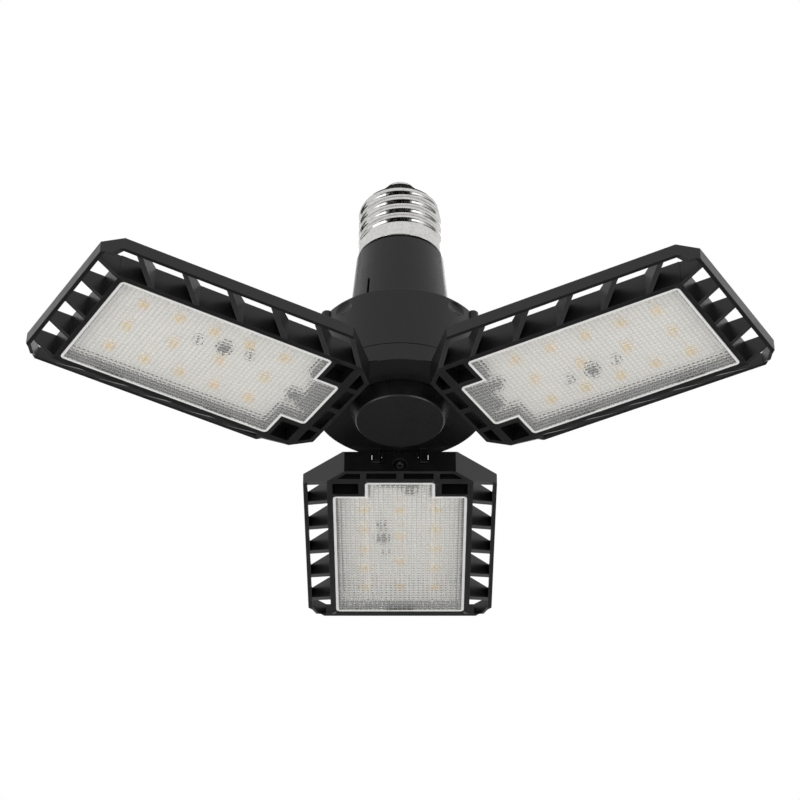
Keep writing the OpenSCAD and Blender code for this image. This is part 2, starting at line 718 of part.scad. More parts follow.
module panel_frame() {
    color("#2c2d30") difference() {
        union() {
            difference() {
                linear_extrude(panel_t) frame_plan();
                // bevelled front of the ribs and the set-back rim
                for (s = [-1, 1]) scale_y(s) rotate([90, 0, 90])
                    linear_extrude(panel_reach + 5) front_wedge(tray_half, side_span);
                rotate([90, 0, 0]) translate([0, 0, -half_w - 5])
                    linear_extrude(panel_w + 10) front_wedge(tray_end_x, end_span);
                // seat of the lens, then the hollow for the board
                translate([0, 0, -1]) linear_extrude(seat_h + 1) lens_outline(lens_gap);
                linear_extrude(panel_t - floor_t) lens_outline(-seat_ledge);
                front_pockets();
                // slots for the hub's lugs
                for (s = [-1, 1]) scale_y(s)
                    box([panel_start - 1, knuckle_half, slot_floor], [slot_end_x, slot_half, panel_t + 1]);
                // bevel that lets the inner end swing past the drum's rim
                translate([panel_start, 0, panel_t]) rotate([90, 0, 0])
                    linear_extrude(panel_w, center = true)
                        polygon([[-1, -end_bevel - 1], [end_bevel + 1, 1], [-1, 1]]);
            }
            // clips that hold the lens at its edges
            for (s = [-1, 1], x = clip_spots) scale_y(s)
                box([x - clip_l / 2 + lens_gap, lens_w / 2 - clip_depth + lens_gap, 0.2],
                    [x + clip_l / 2 - lens_gap, lens_w / 2 + lens_gap + 0.3, seat_h + 0.3]);
            box([lens_end_x - clip_depth + lens_gap, -clip_l / 2 + lens_gap, 0.2],
                [lens_end_x + lens_gap + 0.3, clip_l / 2 - lens_gap, seat_h + 0.3]);
        }
        // bore of the hinge
        translate([pin_x, 0, pin_h]) cross_pin(pin_r + run_gap, -knuckle_half - 1, knuckle_half + 1);
        // channel and hole for the panel lead
        box([panel_start - 1, -lead_channel_half, channel_floor],
            [lead_hole_x[1], lead_channel_half, panel_t + 1]);
        box([lead_hole_x[0], -lead_channel_half, seat_h + 1],
            [lead_hole_x[1], lead_channel_half, panel_t + 1]);
        // round recess and pilot hole of the end screw
        translate([panel_start - 1, 0, end_screw_h]) rotate([0, 90, 0]) cylinder(r = 2.3, h = 1.7);
        translate([panel_start, 0, end_screw_h]) rotate([0, 90, 0]) cylinder(r = 0.75, h = 5);
        // pilot holes of the board screws
        for (p = screw_spots) translate([p[0], p[1], 0]) cylinder(r = 0.95, h = panel_t - 0.3);
    }
}

// ---------------------------------------------------------------- what a panel carries

module lens() {
    color("whitesmoke", 0.6) linear_extrude(lens_t) difference() {
        lens_outline(0);
        for (s = [-1, 1], x = clip_spots) mirror([0, s < 0 ? 1 : 0])
            translate([x - clip_l / 2, lens_w / 2 - clip_depth]) square([clip_l, 2]);
        translate([lens_end_x - clip_depth, -clip_l / 2]) square([2, clip_l]);
    }
}

// outline shared by the light board and the heat plate, with a notch for the lead
module board_outline() {
    inset = seat_ledge + 0.3;
    difference() {
        union() {
            translate([lens_x + inset, -lens_w / 2 + inset])
                square([lens_l - 2 * inset, lens_w - 2 * inset]);
            translate([tab_x + inset, -tab_w / 2 + inset]) square([tab_l + 4, tab_w - 2 * inset]);
        }
        translate([tab_x, -lead_channel_half - 0.4])
            square([lead_hole_x[1] + 0.3 - tab_x, 2 * lead_channel_half + 0.8]);
        for (p = screw_spots) translate(p) circle(r = 1.25);
    }
}

module light_board() {
    color("white") translate([0, 0, board_z]) linear_extrude(board_t) board_outline();
}

module heat_plate() {
    color("silver") translate([0, 0, plate_z]) linear_extrude(plate_t) board_outline();
}

// chip centres: two outer rows and a sparser middle row
CHIPS = concat(
    [for (s = [-1, 1], k = [0 : row_chips - 1]) [chip_x + k * chip_pitch, s * row_gap]],
    [for (k = [0 : mid_chips - 1]) [mid_chip_x + k * mid_pitch, 0]]);

module light_chips() {
    color("khaki") for (p = CHIPS) {
        translate([p[0] - chip_w / 2, p[1] - chip_w / 2, board_z - chip_h]) cube([chip_w, chip_w, chip_h]);
    }
}

module board_screws() {
    head_h = 1.2;
    color("gray") for (p = screw_spots) translate([p[0], p[1], board_z - head_h]) {
        cylinder(r = 2.1, h = head_h);
        cylinder(r = 0.9, h = panel_t - 0.4 - board_z + head_h);
    }
}

module end_screw() {
    color("gray") translate([panel_start + 0.7, 0, end_screw_h]) rotate([0, 90, 0]) {
        translate([0, 0, -0.6]) cylinder(r = 1.3, h = 0.6);
        cylinder(r = 0.7, h = 4);
    }
}

module panel_lead() {
    z_board = board_z - lead_r;
    z_back = channel_floor + lead_r + 0.05;
    x_up = (lead_hole_x[0] + lead_hole_x[1]) / 2;
    color("firebrick") for (y = [-lead_half, lead_half]) {
        path = [[lead_hole_x[1] + 3, y, z_board], [x_up, y, z_board], [x_up, y, z_back],
            [slot_end_x + 0.2, y, z_back]];
        lead(soft(path), [0, 1, 0]);
    }
}

// ---------------------------------------------------------------- hinge hardware, fixed to the hub

module hinge_pin() {
    color("gray") cross_pin(pin_r, -lug_y - lug_t, lug_y + lug_t);
}

module friction_washers() {
    y = knuckle_half + side_gap;
    color("gray") for (from = [y, -y - washer_t]) {
        difference() {
            cross_pin(knuckle_r - 0.1, from, from + washer_t);
            cross_pin(pin_r + fit_gap, from - 1, from + washer_t + 1);
        }
    }
}

// ---------------------------------------------------------------- the light

screw_shell();
cap_insulator();
centre_contact();
neck_sleeve();
drum_housing();
hub_base();
bottom_cap();
driver_board();
driver_screws();
reservoir_capacitor();
choke_core();
choke_winding();
bridge_rectifier();
film_capacitor();
fuse_resistor();
control_chips();
output_terminals();
live_lead();
neutral_lead();
output_leads();

for (side = PANELS) {
    on_panel(side) panel_frame();
    on_panel(side) lens();
    on_panel(side) light_board();
    on_panel(side) light_chips();
    on_panel(side) heat_plate();
    on_panel(side) board_screws();
    on_panel(side) end_screw();
    on_panel(side) panel_lead();
    on_hinge(side) hinge_pin();
    on_hinge(side) friction_washers();
}
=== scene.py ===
"""Screw-in garage light with three hinged light panels, finished piece by piece round its CAD frame."""
import math
import bmesh
import bpy
import numpy as np
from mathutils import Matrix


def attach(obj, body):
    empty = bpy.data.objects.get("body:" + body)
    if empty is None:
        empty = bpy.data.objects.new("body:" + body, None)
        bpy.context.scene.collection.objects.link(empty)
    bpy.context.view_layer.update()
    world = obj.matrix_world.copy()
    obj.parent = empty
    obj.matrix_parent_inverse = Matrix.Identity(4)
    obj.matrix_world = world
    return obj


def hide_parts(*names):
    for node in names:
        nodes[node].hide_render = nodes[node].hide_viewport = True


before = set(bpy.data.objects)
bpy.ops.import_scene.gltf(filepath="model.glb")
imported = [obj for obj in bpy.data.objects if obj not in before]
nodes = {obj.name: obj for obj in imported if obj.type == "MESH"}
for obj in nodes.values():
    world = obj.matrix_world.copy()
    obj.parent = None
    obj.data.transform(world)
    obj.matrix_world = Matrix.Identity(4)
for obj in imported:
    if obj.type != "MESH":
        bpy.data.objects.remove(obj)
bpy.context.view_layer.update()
scene = bpy.context.scene

# ---------------------------------------------------------------- camera
# The light is seen from below, 36 degrees under its level, by a long lens about a metre away.
view_rise = math.radians(35.958)
view_reach = 0.99748
view_aim = -0.0541
lens_data = bpy.data.cameras.new("long_lens")
lens_data.sensor_width = 36
lens_data.lens = 147.474
camera = bpy.data.objects.new("camera", lens_data)
camera.location = (0, -view_reach * math.cos(view_rise), view_aim - view_reach * math.sin(view_rise))
camera.rotation_euler = (math.pi / 2 + view_rise, 0, 0)
scene.collection.objects.link(camera)
scene.camera = camera
scene.view_settings.view_transform = "Standard"

# ---------------------------------------------------------------- studio
# A white sweep all round, large soft lamps low at both sides of the camera and one above and behind,
# and black and grey cards that bright metal and dark plastic mirror, as in a product picture.


def add_node(tree, kind, sockets=None, **settings):
    """One shader node, with its settings, and each named socket linked to an output or set to a value."""
    made = tree.nodes.new(kind)
    for name, value in settings.items():
        setattr(made, name, value)
    for key, value in (sockets or {}).items():
        if isinstance(value, bpy.types.NodeSocket):
            tree.links.new(value, made.inputs[key])
        else:
            made.inputs[key].default_value = value
    return made


def calc(tree, operation, a, b=0.0, clamp=False):
    """Output of a Math node on two sockets or numbers."""
    return add_node(tree, "ShaderNodeMath", {0: a, 1: b}, operation=operation, use_clamp=clamp).outputs[0]


def seen_ray(tree):
    """Output that is 1 for what the camera sees, straight, mirrored or through glass, and 0 for light."""
    ray = add_node(tree, "ShaderNodeLightPath")
    mirrored = calc(tree, "MAXIMUM", ray.outputs["Is Camera Ray"], ray.outputs["Is Glossy Ray"])
    return calc(tree, "MAXIMUM", mirrored, ray.outputs["Is Transmission Ray"])


white = (1, 1, 1, 1)
world = bpy.data.worlds.new("white_sweep")
world.use_nodes = True
scene.world = world
sky = world.node_tree
sky.nodes.clear()
sky_light = add_node(sky, "ShaderNodeBackground", {"Color": white, "Strength": 0.45})
sky_seen = add_node(sky, "ShaderNodeBackground", {"Color": white, "Strength": 1.0})
sky_mix = add_node(sky, "ShaderNodeMixShader", {0: seen_ray(sky), 1: sky_light.outputs[0], 2: sky_seen.outputs[0]})
add_node(sky, "ShaderNodeOutputWorld", {"Surface": sky_mix.outputs[0]})


def way_to(azimuth, elevation):
    """Unit vector from the light towards an azimuth and an elevation, in degrees."""
    a, b = math.radians(azimuth), math.radians(elevation)
    return np.array([math.cos(b) * math.cos(a), math.cos(b) * math.sin(a), math.sin(b)])


def softbox(name, azimuth, elevation, distance, size, power):
    """A square lamp aimed at the light from an azimuth and an elevation, in degrees."""
    data = bpy.data.lights.new(name, "AREA")
    data.shape = "SQUARE"
    data.size = size
    data.energy = power
    lamp = bpy.data.objects.new(name, data)
    lamp.location = distance * way_to(azimuth, elevation) + [0, 0, view_aim]
    lamp.rotation_euler = (math.pi / 2 - math.radians(elevation), 0, math.radians(azimuth) + math.pi / 2)
    scene.collection.objects.link(lamp)


softbox("key_lamp", 215, -38, 1.5, 1.0, 8)
softbox("fill_lamp", 325, -38, 1.5, 1.0, 7)
softbox("back_lamp", 80, 50, 1.6, 1.2, 6)


def card(name, azimuth, elevation, distance, width, height):
    """A flat card that faces the light from an azimuth and an elevation, in degrees."""
    way, side = way_to(azimuth, elevation), way_to(azimuth + 90, 0)
    rise = np.cross(way, side)
    middle = distance * way + [0, 0, view_aim]
    corners = [middle + sx * side * width / 2 + sy * rise * height / 2
               for sx, sy in [(-1, -1), (1, -1), (1, 1), (-1, 1)]]
    mesh = bpy.data.meshes.new(name)
    mesh.from_pydata([tuple(c) for c in corners], [], [(0, 1, 2, 3)])
    made = bpy.data.objects.new(name, mesh)
    scene.collection.objects.link(made)
    return made


for name, azimuth, elevation, distance, width, height, level in [
        ("front_card", 270, -17, 1.30, 1.5, 0.95, 0.0), ("front_screen", 270, -17, 1.36, 3.2, 1.0, 0.25),
        ("under_card", 90, -40, 1.35, 2.6, 1.2, 0.2), ("left_card", 163, 4, 1.35, 0.8, 0.42, 0.02),
        ("right_card", -3, -3, 1.35, 1.05, 0.36, 0.22), ("top_card", 90, 66, 1.35, 1.6, 0.9, 0.02)]:
    flag = card(name, azimuth, elevation, distance, width, height)
    cloth = bpy.data.materials.new(name + "_cloth")
    cloth.use_nodes = True
    cloth.node_tree.nodes.clear()
    glow = add_node(cloth.node_tree, "ShaderNodeEmission", {"Color": white, "Strength": level})
    add_node(cloth.node_tree, "ShaderNodeOutputMaterial", {"Surface": glow.outputs[0]})
    flag.data.materials.append(cloth)
    flag.visible_camera = flag.visible_diffuse = flag.visible_transmission = flag.visible_shadow = False

floor_half = 6
floor_z = -1.5
floor_mesh = bpy.data.meshes.new("floor")
floor_mesh.from_pydata([(x * floor_half, y * floor_half, floor_z) for x, y in [(-1, -1), (1, -1), (1, 1), (-1, 1)]],
                       [], [(0, 1, 2, 3)])
floor = bpy.data.objects.new("floor", floor_mesh)
scene.collection.objects.link(floor)
floor_paint = bpy.data.materials.new("floor_paint")
floor_paint.use_nodes = True
paint_tree = floor_paint.node_tree
matt = paint_tree.nodes["Principled BSDF"]
matt.inputs["Base Color"].default_value = (0.9, 0.9, 0.9, 1)
matt.inputs["Roughness"].default_value = 0.8
# half of what the camera, metal and glass see of the floor is plain white, the rest keeps the shadow
half_seen = calc(paint_tree, "MULTIPLY", seen_ray(paint_tree), 0.5)
pale = add_node(paint_tree, "ShaderNodeEmission", {"Color": white, "Strength": 1.0})
floor_mix = add_node(paint_tree, "ShaderNodeMixShader", {0: half_seen, 1: matt.outputs[0], 2: pale.outputs[0]})
paint_tree.links.new(floor_mix.outputs[0], paint_tree.nodes["Material Output"].inputs["Surface"])
floor_mesh.materials.append(floor_paint)

# ---------------------------------------------------------------- screw shell
# The screw shell is drawn from thin sheet, rolled with a right-hand thread over a plain skirt and
# nickel plated. Punch marks round its lower edge stake it to the plastic neck.
shell_r = 0.01325
skirt_h = 0.0042
thread_pitch = 0.003629
thread_crest_r = 0.0131
thread_depth = 0.0008
thread_h = 0.0144
thread_start = math.radians(320)
thread_top = skirt_h + thread_h
shell_bore = 0.01195
punch_spots = [(247, 0.0008), (277, 0.0010), (303, 0.0007), (330, 0.0009), (180, 0.0009), (60, 0.0009), (120, 0.0009)]
punch_r = 0.0004
punch_depth = 0.00022


def make_group(name, inputs, outputs):
    """A shader group with named float inputs, given with their start values, and named outputs."""
    tree = bpy.data.node_groups.new(name, "ShaderNodeTree")
    for title, value in inputs.items():
        tree.interface.new_socket(title, in_out="INPUT", socket_type="NodeSocketFloat").default_value = value
    for title, kind in outputs.items():
        tree.interface.new_socket(title, in_out="OUTPUT", socket_type="NodeSocket" + kind)
    return tree, add_node(tree, "NodeGroupInput"), add_node(tree, "NodeGroupOutput")


def remap(tree, value, low, high, to_low=0.0, to_high=1.0):
    """Output of a Map Range node that clamps."""
    return add_node(tree, "ShaderNodeMapRange", {"Value": value, "From Min": low, "From Max": high,
                                                 "To Min": to_low, "To Max": to_high}).outputs[0]


def blend(tree, mask, a, b):
    """Output colour that goes from a to b as the mask goes from 0 to 1."""
    return add_node(tree, "ShaderNodeMix", {0: mask, 6: a, 7: b}, data_type="RGBA").outputs[2]


def object_place(tree):
    """Output with the place on the object that a pattern follows."""
    return add_node(tree, "ShaderNodeTexCoord").outputs["Object"]


def noise(tree, where, scale, detail, **more):
    """Output value of a Noise Texture at a place."""
    sockets = {"Vector": where, "Scale": scale, "Detail": detail, **more}
    return add_node(tree, "ShaderNodeTexNoise", sockets).outputs[0]


def bumped(tree, height, strength, distance):
    """Output normal of a Bump node over a height."""
    return add_node(tree, "ShaderNodeBump", {"Strength": strength, "Distance": distance, "Height": height}).outputs[0]


def feed(tree, shader, **sockets):
    """Links outputs to the inputs of a shader or a group's output, with _ for a space in their names."""
    for name, socket in sockets.items():
        tree.links.new(socket, shader.inputs[name.replace("_", " ")])


# Handling marks: fine scratches that run one way, broken by large smudges.
marks, marks_in, marks_out = make_group("handling_marks", {"Scale": 900.0, "Stretch": 0.05},
                                        {"Scratches": "Float", "Smudges": "Float"})
where = object_place(marks)
parts = add_node(marks, "ShaderNodeSeparateXYZ", {0: where})
short_z = calc(marks, "MULTIPLY", parts.outputs[2], marks_in.outputs["Stretch"])
drawn_out = add_node(marks, "ShaderNodeCombineXYZ", {0: parts.outputs[0], 1: parts.outputs[1], 2: short_z})
fine = calc(marks, "MULTIPLY", marks_in.outputs["Scale"], 4.0)
lines = noise(marks, drawn_out.outputs[0], fine, 3.0, Roughness=0.7)
smears = noise(marks, where, marks_in.outputs["Scale"], 2.0, Distortion=0.6)
feed(marks, marks_out, Scratches=remap(marks, lines, 0.58, 0.72), Smudges=remap(marks, smears, 0.42, 0.7))

# Edge mask: how far a rounded-off normal turns away from the true one, broken up by noise.
edges, edges_in, edges_out = make_group("edge_mask", {"Radius": 0.0003, "Breakup": 1200.0}, {"Edge": "Float"})
turned = add_node(edges, "ShaderNodeBevel", {"Radius": edges_in.outputs["Radius"]}, samples=6).outputs[0]
true_normal = add_node(edges, "ShaderNodeNewGeometry").outputs["Normal"]
together = add_node(edges, "ShaderNodeVectorMath", {0: turned, 1: true_normal}, operation="DOT_PRODUCT")
broken = noise(edges, object_place(edges), edges_in.outputs["Breakup"], 4.0)
feed(edges, edges_out, Edge=calc(edges, "MULTIPLY", remap(edges, together.outputs["Value"], 0.995, 0.86),
                                 remap(edges, broken, 0.35, 0.6, 0.35, 1.0)))


def use_group(tree, group, **values):
    """A group node in a material, with its inputs set."""
    made = add_node(tree, "ShaderNodeGroup", node_tree=group)
    for name, value in values.items():
        made.inputs[name.replace("_", " ")].default_value = value
    return made


def new_finish(name, **values):
    """A material with its tree and its Principled shader, whose plain values are set on the shader."""
    made = bpy.data.materials.new(name)
    made.use_nodes = True
    shader = made.node_tree.nodes["Principled BSDF"]
    for key, value in values.items():
        shader.inputs[key.replace("_", " ")].default_value = value
    return made, made.node_tree, shader


def plated_metal(name, colour, dull, roughness, worn=0.5, scale=900.0, bump=0.06):
    """Plated or bare metal: a clean colour that dulls in smudges, with scratches and brighter rubbed edges."""
    made, tree, shader = new_finish(name, Metallic=1.0)
    mark = use_group(tree, marks, Scale=scale, Stretch=0.06)
    edge = use_group(tree, edges, Radius=0.00018, Breakup=2500.0)
    smudged = blend(tree, calc(tree, "MULTIPLY", mark.outputs["Smudges"], worn), colour, dull)
    bright = tuple(min(1.0, c * 1.12) for c in colour[:3]) + (1,)
    feed(tree, shader, Base_Color=blend(tree, calc(tree, "MULTIPLY", edge.outputs["Edge"], 0.6), smudged, bright),
         Roughness=calc(tree, "ADD", remap(tree, mark.outputs["Smudges"], 0, 1, roughness, roughness * 1.8),
                        calc(tree, "MULTIPLY", mark.outputs["Scratches"], 0.12)),
         Normal=bumped(tree, mark.outputs["Scratches"], bump, 0.00004))
    return made


def grid_mesh(name, points, wrap_rows=False, caps=(None, None)):
    """A quad mesh over a grid of points (rows, columns, 3). The columns wrap round, the rows may, and a
    cap point closes the first or the last row with a fan. The faces are turned outwards by the sign
    of the volume they enclose."""
    rows, columns = points.shape[:2]
    vertices = points.reshape(-1, 3)
    i, j = np.meshgrid(np.arange(rows if wrap_rows else rows - 1), np.arange(columns), indexing="ij")
    i2, j2 = (i + 1) % rows, (j + 1) % columns
    quads = np.stack([i * columns + j, i * columns + j2, i2 * columns + j2, i2 * columns + j], -1).reshape(-1, 4)
    fans = []
    for row, tip in zip((0, rows - 1), caps):
        if tip is not None:
            vertices = np.vstack([vertices, np.asarray(tip, float)[None]])
            a = np.arange(columns)
            b = (a + 1) % columns
            first, second = (b, a) if row == 0 else (a, b)
            hub = np.full(columns, len(vertices) - 1)
            fans.append(np.stack([row * columns + first, row * columns + second, hub], -1))
    halves = [quads[:, [0, 1, 2]], quads[:, [0, 2, 3]]] + fans
    corners = vertices[np.vstack(halves)]
    volume = np.einsum("ij,ij->", corners[:, 0], np.cross(corners[:, 1], corners[:, 2]))
    turn = slice(None, None, -1 if volume < 0 else 1)
    faces = quads[:, turn].tolist() + [t for f in fans for t in f[:, turn].tolist()]
    mesh = bpy.data.meshes.new(name)
    mesh.from_pydata(vertices.tolist(), [], faces)
    mesh.update()
    return mesh


def smooth_piece(mesh, finish, sharp=40):
    """The mesh as a piece of its name, shaded smooth except across edges sharper than an angle in degrees."""
    mesh.polygons.foreach_set("use_smooth", np.ones(len(mesh.polygons), bool))
    mesh.set_sharp_from_angle(angle=math.radians(sharp))
    mesh.materials.append(finish)
    made = bpy.data.objects.new(mesh.name, mesh)
    scene.collection.objects.link(made)
    return made


def rounded(section, radii, steps=4):
    """A section (radius, height) with each corner replaced by an arc that meets both sides at the same
    distance, and a close point on either side of the arc to keep the flats flat. A radius of 0 keeps
    the corner. The section is open, so its two ends stay."""
    section = np.asarray(section, float)
    out = [section[0]]
    for before, corner, after, r in zip(section[:-2], section[1:-1], section[2:], radii):
        if r <= 0:
            out.append(corner)
            continue
        back, onward = np.linalg.norm(before - corner), np.linalg.norm(after - corner)
        u, v = (before - corner) / back, (after - corner) / onward
        half = math.acos(max(-1.0, min(1.0, float(u @ v)))) / 2
        reach = min(r / math.tan(half), 0.45 * back, 0.45 * onward)
        r = reach * math.tan(half)
        middle = corner + (u + v) / np.linalg.norm(u + v) * (r / math.sin(half))
        start, end = corner + u * reach - middle, corner + v * reach - middle
        sweep = math.pi - 2 * half
        t = np.linspace(0, 1, steps + 1)[:, None]
        arc = middle + (np.sin((1 - t) * sweep) * start + np.sin(t * sweep) * end) / math.sin(sweep)
        out += [corner + u * reach * 1.15, *arc, corner + v * reach * 1.15]
    out.append(section[-1])
    return np.array(out)


def turned_points(section, angles, radius=None):
    """Grid of points (rows, angles, 3) of a section (radius, height) turned about the light's axis."""
    r = np.repeat(section[:, :1], len(angles), 1) if radius is None else radius
    z = np.repeat(section[:, 1:], len(angles), 1)
    return np.stack([r * np.cos(angles), r * np.sin(angles), z], -1)


def full_turn(steps):
    """Angles of one turn in equal steps, the last one short of the first."""
    return np.arange(steps) * 2 * math.pi / steps


def thread_points(steps=240, rows=112):
    """Outside of the shell: a rolled foot, the plain skirt, then a thread whose radius swings between
    root and crest as the cosine of height over pitch less angle and fades out at both ends, then a
    shoulder rolled over the insulator. The inside runs back down as a plain bore."""
    angles = full_turn(steps)
    foot = np.array([[shell_r - 0.0006, 0.0], [shell_r - 0.00025, 0.00002], [shell_r - 0.00006, 0.0001],
                     [shell_r, 0.00028], [shell_r, 0.0012], [shell_r, 0.0026],
                     [shell_r, skirt_h - 0.0005], [shell_r, skirt_h - 0.0002]])
    z = np.linspace(0, thread_h, rows)
    fade = np.clip(np.minimum((z - 0.0003) / 0.0016, (thread_h - z) / 0.0007), 0, 1)[:, None]
    wave = 0.5 + 0.5 * np.cos(2 * math.pi * z[:, None] / thread_pitch - angles + thread_start)
    root = thread_crest_r - thread_depth
    threaded = root + thread_depth * wave * fade
    shoulder = rounded([[root, thread_top + 0.0001], [root + 0.0001, thread_top + 0.0007],
                        [root - 0.0009, thread_top + 0.0021], [0.0104, thread_top + 0.0027],
                        [0.0103, thread_top + 0.0021], [shell_bore - 0.0003, thread_top + 0.0008],
                        [shell_bore, thread_top - 0.0003]], [0.0006, 0.0006, 0.0002, 0.0001, 0.0003])
    inner = np.array([[shell_bore, skirt_h], [shell_bore, 0.0002], [shell_bore + 0.0002, 0.0]])
    thread = turned_points(np.stack([z, z + skirt_h], -1), angles, threaded)
    return np.concatenate([turned_points(foot, angles), thread, turned_points(shoulder, angles),
                           turned_points(inner, angles)])


def punched(points, spots, radius, depth):
    """The points, pushed towards the axis in round dimples: depth times a bell of the distance to each
    spot, given by azimuth in degrees and height."""
    out = points.copy()
    reach = np.hypot(points[..., 0], points[..., 1])
    angle = np.arctan2(points[..., 1], points[..., 0])
    for azimuth, height in spots:
        arc = np.angle(np.exp(1j * (angle - math.radians(azimuth)))) * reach
        bell = np.exp(-(arc ** 2 + (points[..., 2] - height) ** 2) / radius ** 2) * (reach > shell_r - 0.0003)
        out[..., :2] *= (1 - depth * bell / np.maximum(reach, 1e-6))[..., None]
    return out


nickel = plated_metal("nickel_shell", (0.62, 0.615, 0.605, 1), (0.45, 0.445, 0.435, 1), 0.13, 0.6, bump=0.003)
shell_grid = punched(thread_points(), punch_spots, punch_r, punch_depth)
screw_shell = smooth_piece(grid_mesh("screw_shell_rolled", shell_grid, wrap_rows=True), nickel, 60)
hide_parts("screw_shell")
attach(screw_shell, "hub")

# ---------------------------------------------------------------- insulator and centre contact
# Black vitreous insulator poured into the shell's shoulder, with a pressed nickel contact on its tip.
# The insulator shines like glass and the contact keeps the dull halo of its solder.
cap_h = 0.0294
contact_r = 0.0049
contact_foot = cap_h - 0.0026

glass_black, tree, shader = new_finish("black_glass", Coat_Weight=0.6, Coat_Roughness=0.04, IOR=1.52)
pits = noise(tree, object_place(tree), 700.0, 3.0)
feed(tree, shader,
     Base_Color=blend(tree, remap(tree, pits, 0.4, 0.7), (0.012, 0.012, 0.014, 1), (0.03, 0.028, 0.03, 1)),
     Roughness=remap(tree, pits, 0.35, 0.7, 0.12, 0.3), Normal=bumped(tree, pits, 0.25, 0.0001))

cone = rounded([[0.0012, thread_top], [0.0101, thread_top], [0.0101, thread_top + 0.0029],
                [contact_r + 0.0008, contact_foot], [0.0012, contact_foot]], [0.0002, 0.0005, 0.0006])
cone_grid = turned_points(cone, full_turn(96))
insulator = smooth_piece(grid_mesh("cap_insulator_glass", cone_grid, wrap_rows=True), glass_black)
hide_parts("cap_insulator")
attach(insulator, "hub")

contact_metal = plated_metal("nickel_contact", (0.8, 0.79, 0.77, 1), (0.62, 0.6, 0.57, 1), 0.22, 0.7, 1500.0)
t = np.linspace(0, 1, 12)[:, None]
crown_h = 0.0019
crown = np.hstack([contact_r * np.cos(t * math.pi / 2 * 0.985) ** 0.8,
                   cap_h - crown_h + crown_h * np.sin(t * math.pi / 2) ** 1.1])
hem = [[0.0006, contact_foot], [contact_r - 0.0003, contact_foot], [contact_r, contact_foot + 0.0002]]
dome = np.vstack([hem, crown])
dome_mesh = grid_mesh("centre_contact_pressed", turned_points(dome, full_turn(72)),
                      caps=((0, 0, contact_foot), (0, 0, cap_h)))
contact = smooth_piece(dome_mesh, contact_metal)
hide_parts("centre_contact")
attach(contact, "hub")

# ---------------------------------------------------------------- neck sleeve
# The neck is moulded in black plastic, flares towards the drum and plugs into the screw shell. A
# narrow key slot runs up from its foot.
neck_top_r = 0.01385
neck_base_r = 0.0163
neck_h = 0.0311
groove_h = 0.0011
drum_wall = 0.002
key_azimuth = math.radians(230)
key_half_w = 0.00046
key_edge = 0.00008
key_top = -0.0160
key_foot = -0.03055
key_depth = 0.0009

# Moulded skin: spark-eroded grain, faint flow lines along the height and patches of more or less shine.
skin, skin_in, skin_out = make_group("moulded_skin", {"Grain": 5200.0, "Flow": 140.0},
                                     {"Height": "Float", "Mottle": "Float", "Dust": "Float"})
where = object_place(skin)
grain = skin_in.outputs["Grain"]
pebble = add_node(skin, "ShaderNodeTexVoronoi", {"Vector": where, "Scale": grain}, feature="SMOOTH_F1")
sand = noise(skin, where, grain, 2.0)
flow = noise(skin, where, skin_in.outputs["Flow"], 4.0, Distortion=1.2)
speck_scale = calc(skin, "MULTIPLY", skin_in.outputs["Flow"], 6.0)
specks = add_node(skin, "ShaderNodeTexVoronoi", {"Vector": where, "Scale": speck_scale}).outputs["Distance"]
coarse = calc(skin, "MULTIPLY", pebble.outputs["Distance"], 0.6)
feed(skin, skin_out, Height=calc(skin, "ADD", coarse, calc(skin, "MULTIPLY", sand, 0.4)),
     Mottle=remap(skin, flow, 0.3, 0.72),
     Dust=calc(skin, "MULTIPLY", remap(skin, specks, 0.1, 0.04), remap(skin, flow, 0.5, 0.7)))


def moulded_plastic(name, colour, pale, worn, roughness, grain=5200.0, edge_radius=0.0003, bump=0.22):
    """Moulded plastic: the colour goes to the pale one in flow patches and to the worn one on edges,
    and the shine follows the patches, with a fine grain as bump and a few specks of dust."""
    made, tree, shader = new_finish(name, Specular_IOR_Level=0.34)
    body = use_group(tree, skin, Grain=grain)
    edge = use_group(tree, edges, Radius=edge_radius)
    patchy = blend(tree, body.outputs["Mottle"], colour, pale)
    dusty = blend(tree, calc(tree, "MULTIPLY", body.outputs["Dust"], 0.25), patchy, (0.3, 0.29, 0.27, 1))
    shine = remap(tree, body.outputs["Mottle"], 0, 1, roughness - 0.04, roughness + 0.06)
    feed(tree, shader, Base_Color=blend(tree, edge.outputs["Edge"], dusty, worn),
         Roughness=calc(tree, "SUBTRACT", shine, calc(tree, "MULTIPLY", edge.outputs["Edge"], 0.1)),
         Normal=bumped(tree, body.outputs["Height"], bump, 0.00003))
    return made


hub_plastic = moulded_plastic("hub_plastic", (0.0042, 0.0042, 0.0045, 1), (0.0056, 0.0056, 0.006, 1),
                              (0.035, 0.035, 0.037, 1), 0.28, bump=0.09)

drum_top = -neck_h
flange_top = drum_top - drum_wall - 0.00005
plug_r = shell_bore - 0.00005
plug_bore = shell_bore - 0.00165
undercut_r = shell_r - 0.0002
sleeve_r = neck_top_r - 0.0002
neck_section = rounded([[plug_bore, 0.012], [plug_r, 0.012], [plug_r, 0.0], [undercut_r, 0.0],
                        [undercut_r, -groove_h], [sleeve_r, -groove_h], [neck_base_r, drum_top],
                        [neck_base_r, flange_top], [neck_base_r + 0.0024, flange_top],
                        [neck_base_r + 0.0024, flange_top - 0.002], [neck_base_r - 0.0016, flange_top - 0.002],
                        [neck_base_r - 0.0016, drum_top], [plug_bore, -0.003]],
                       [0.0002, 0.0001, 0, 0, 0.0003, 0, 0, 0, 0.0002, 0.0002, 0])
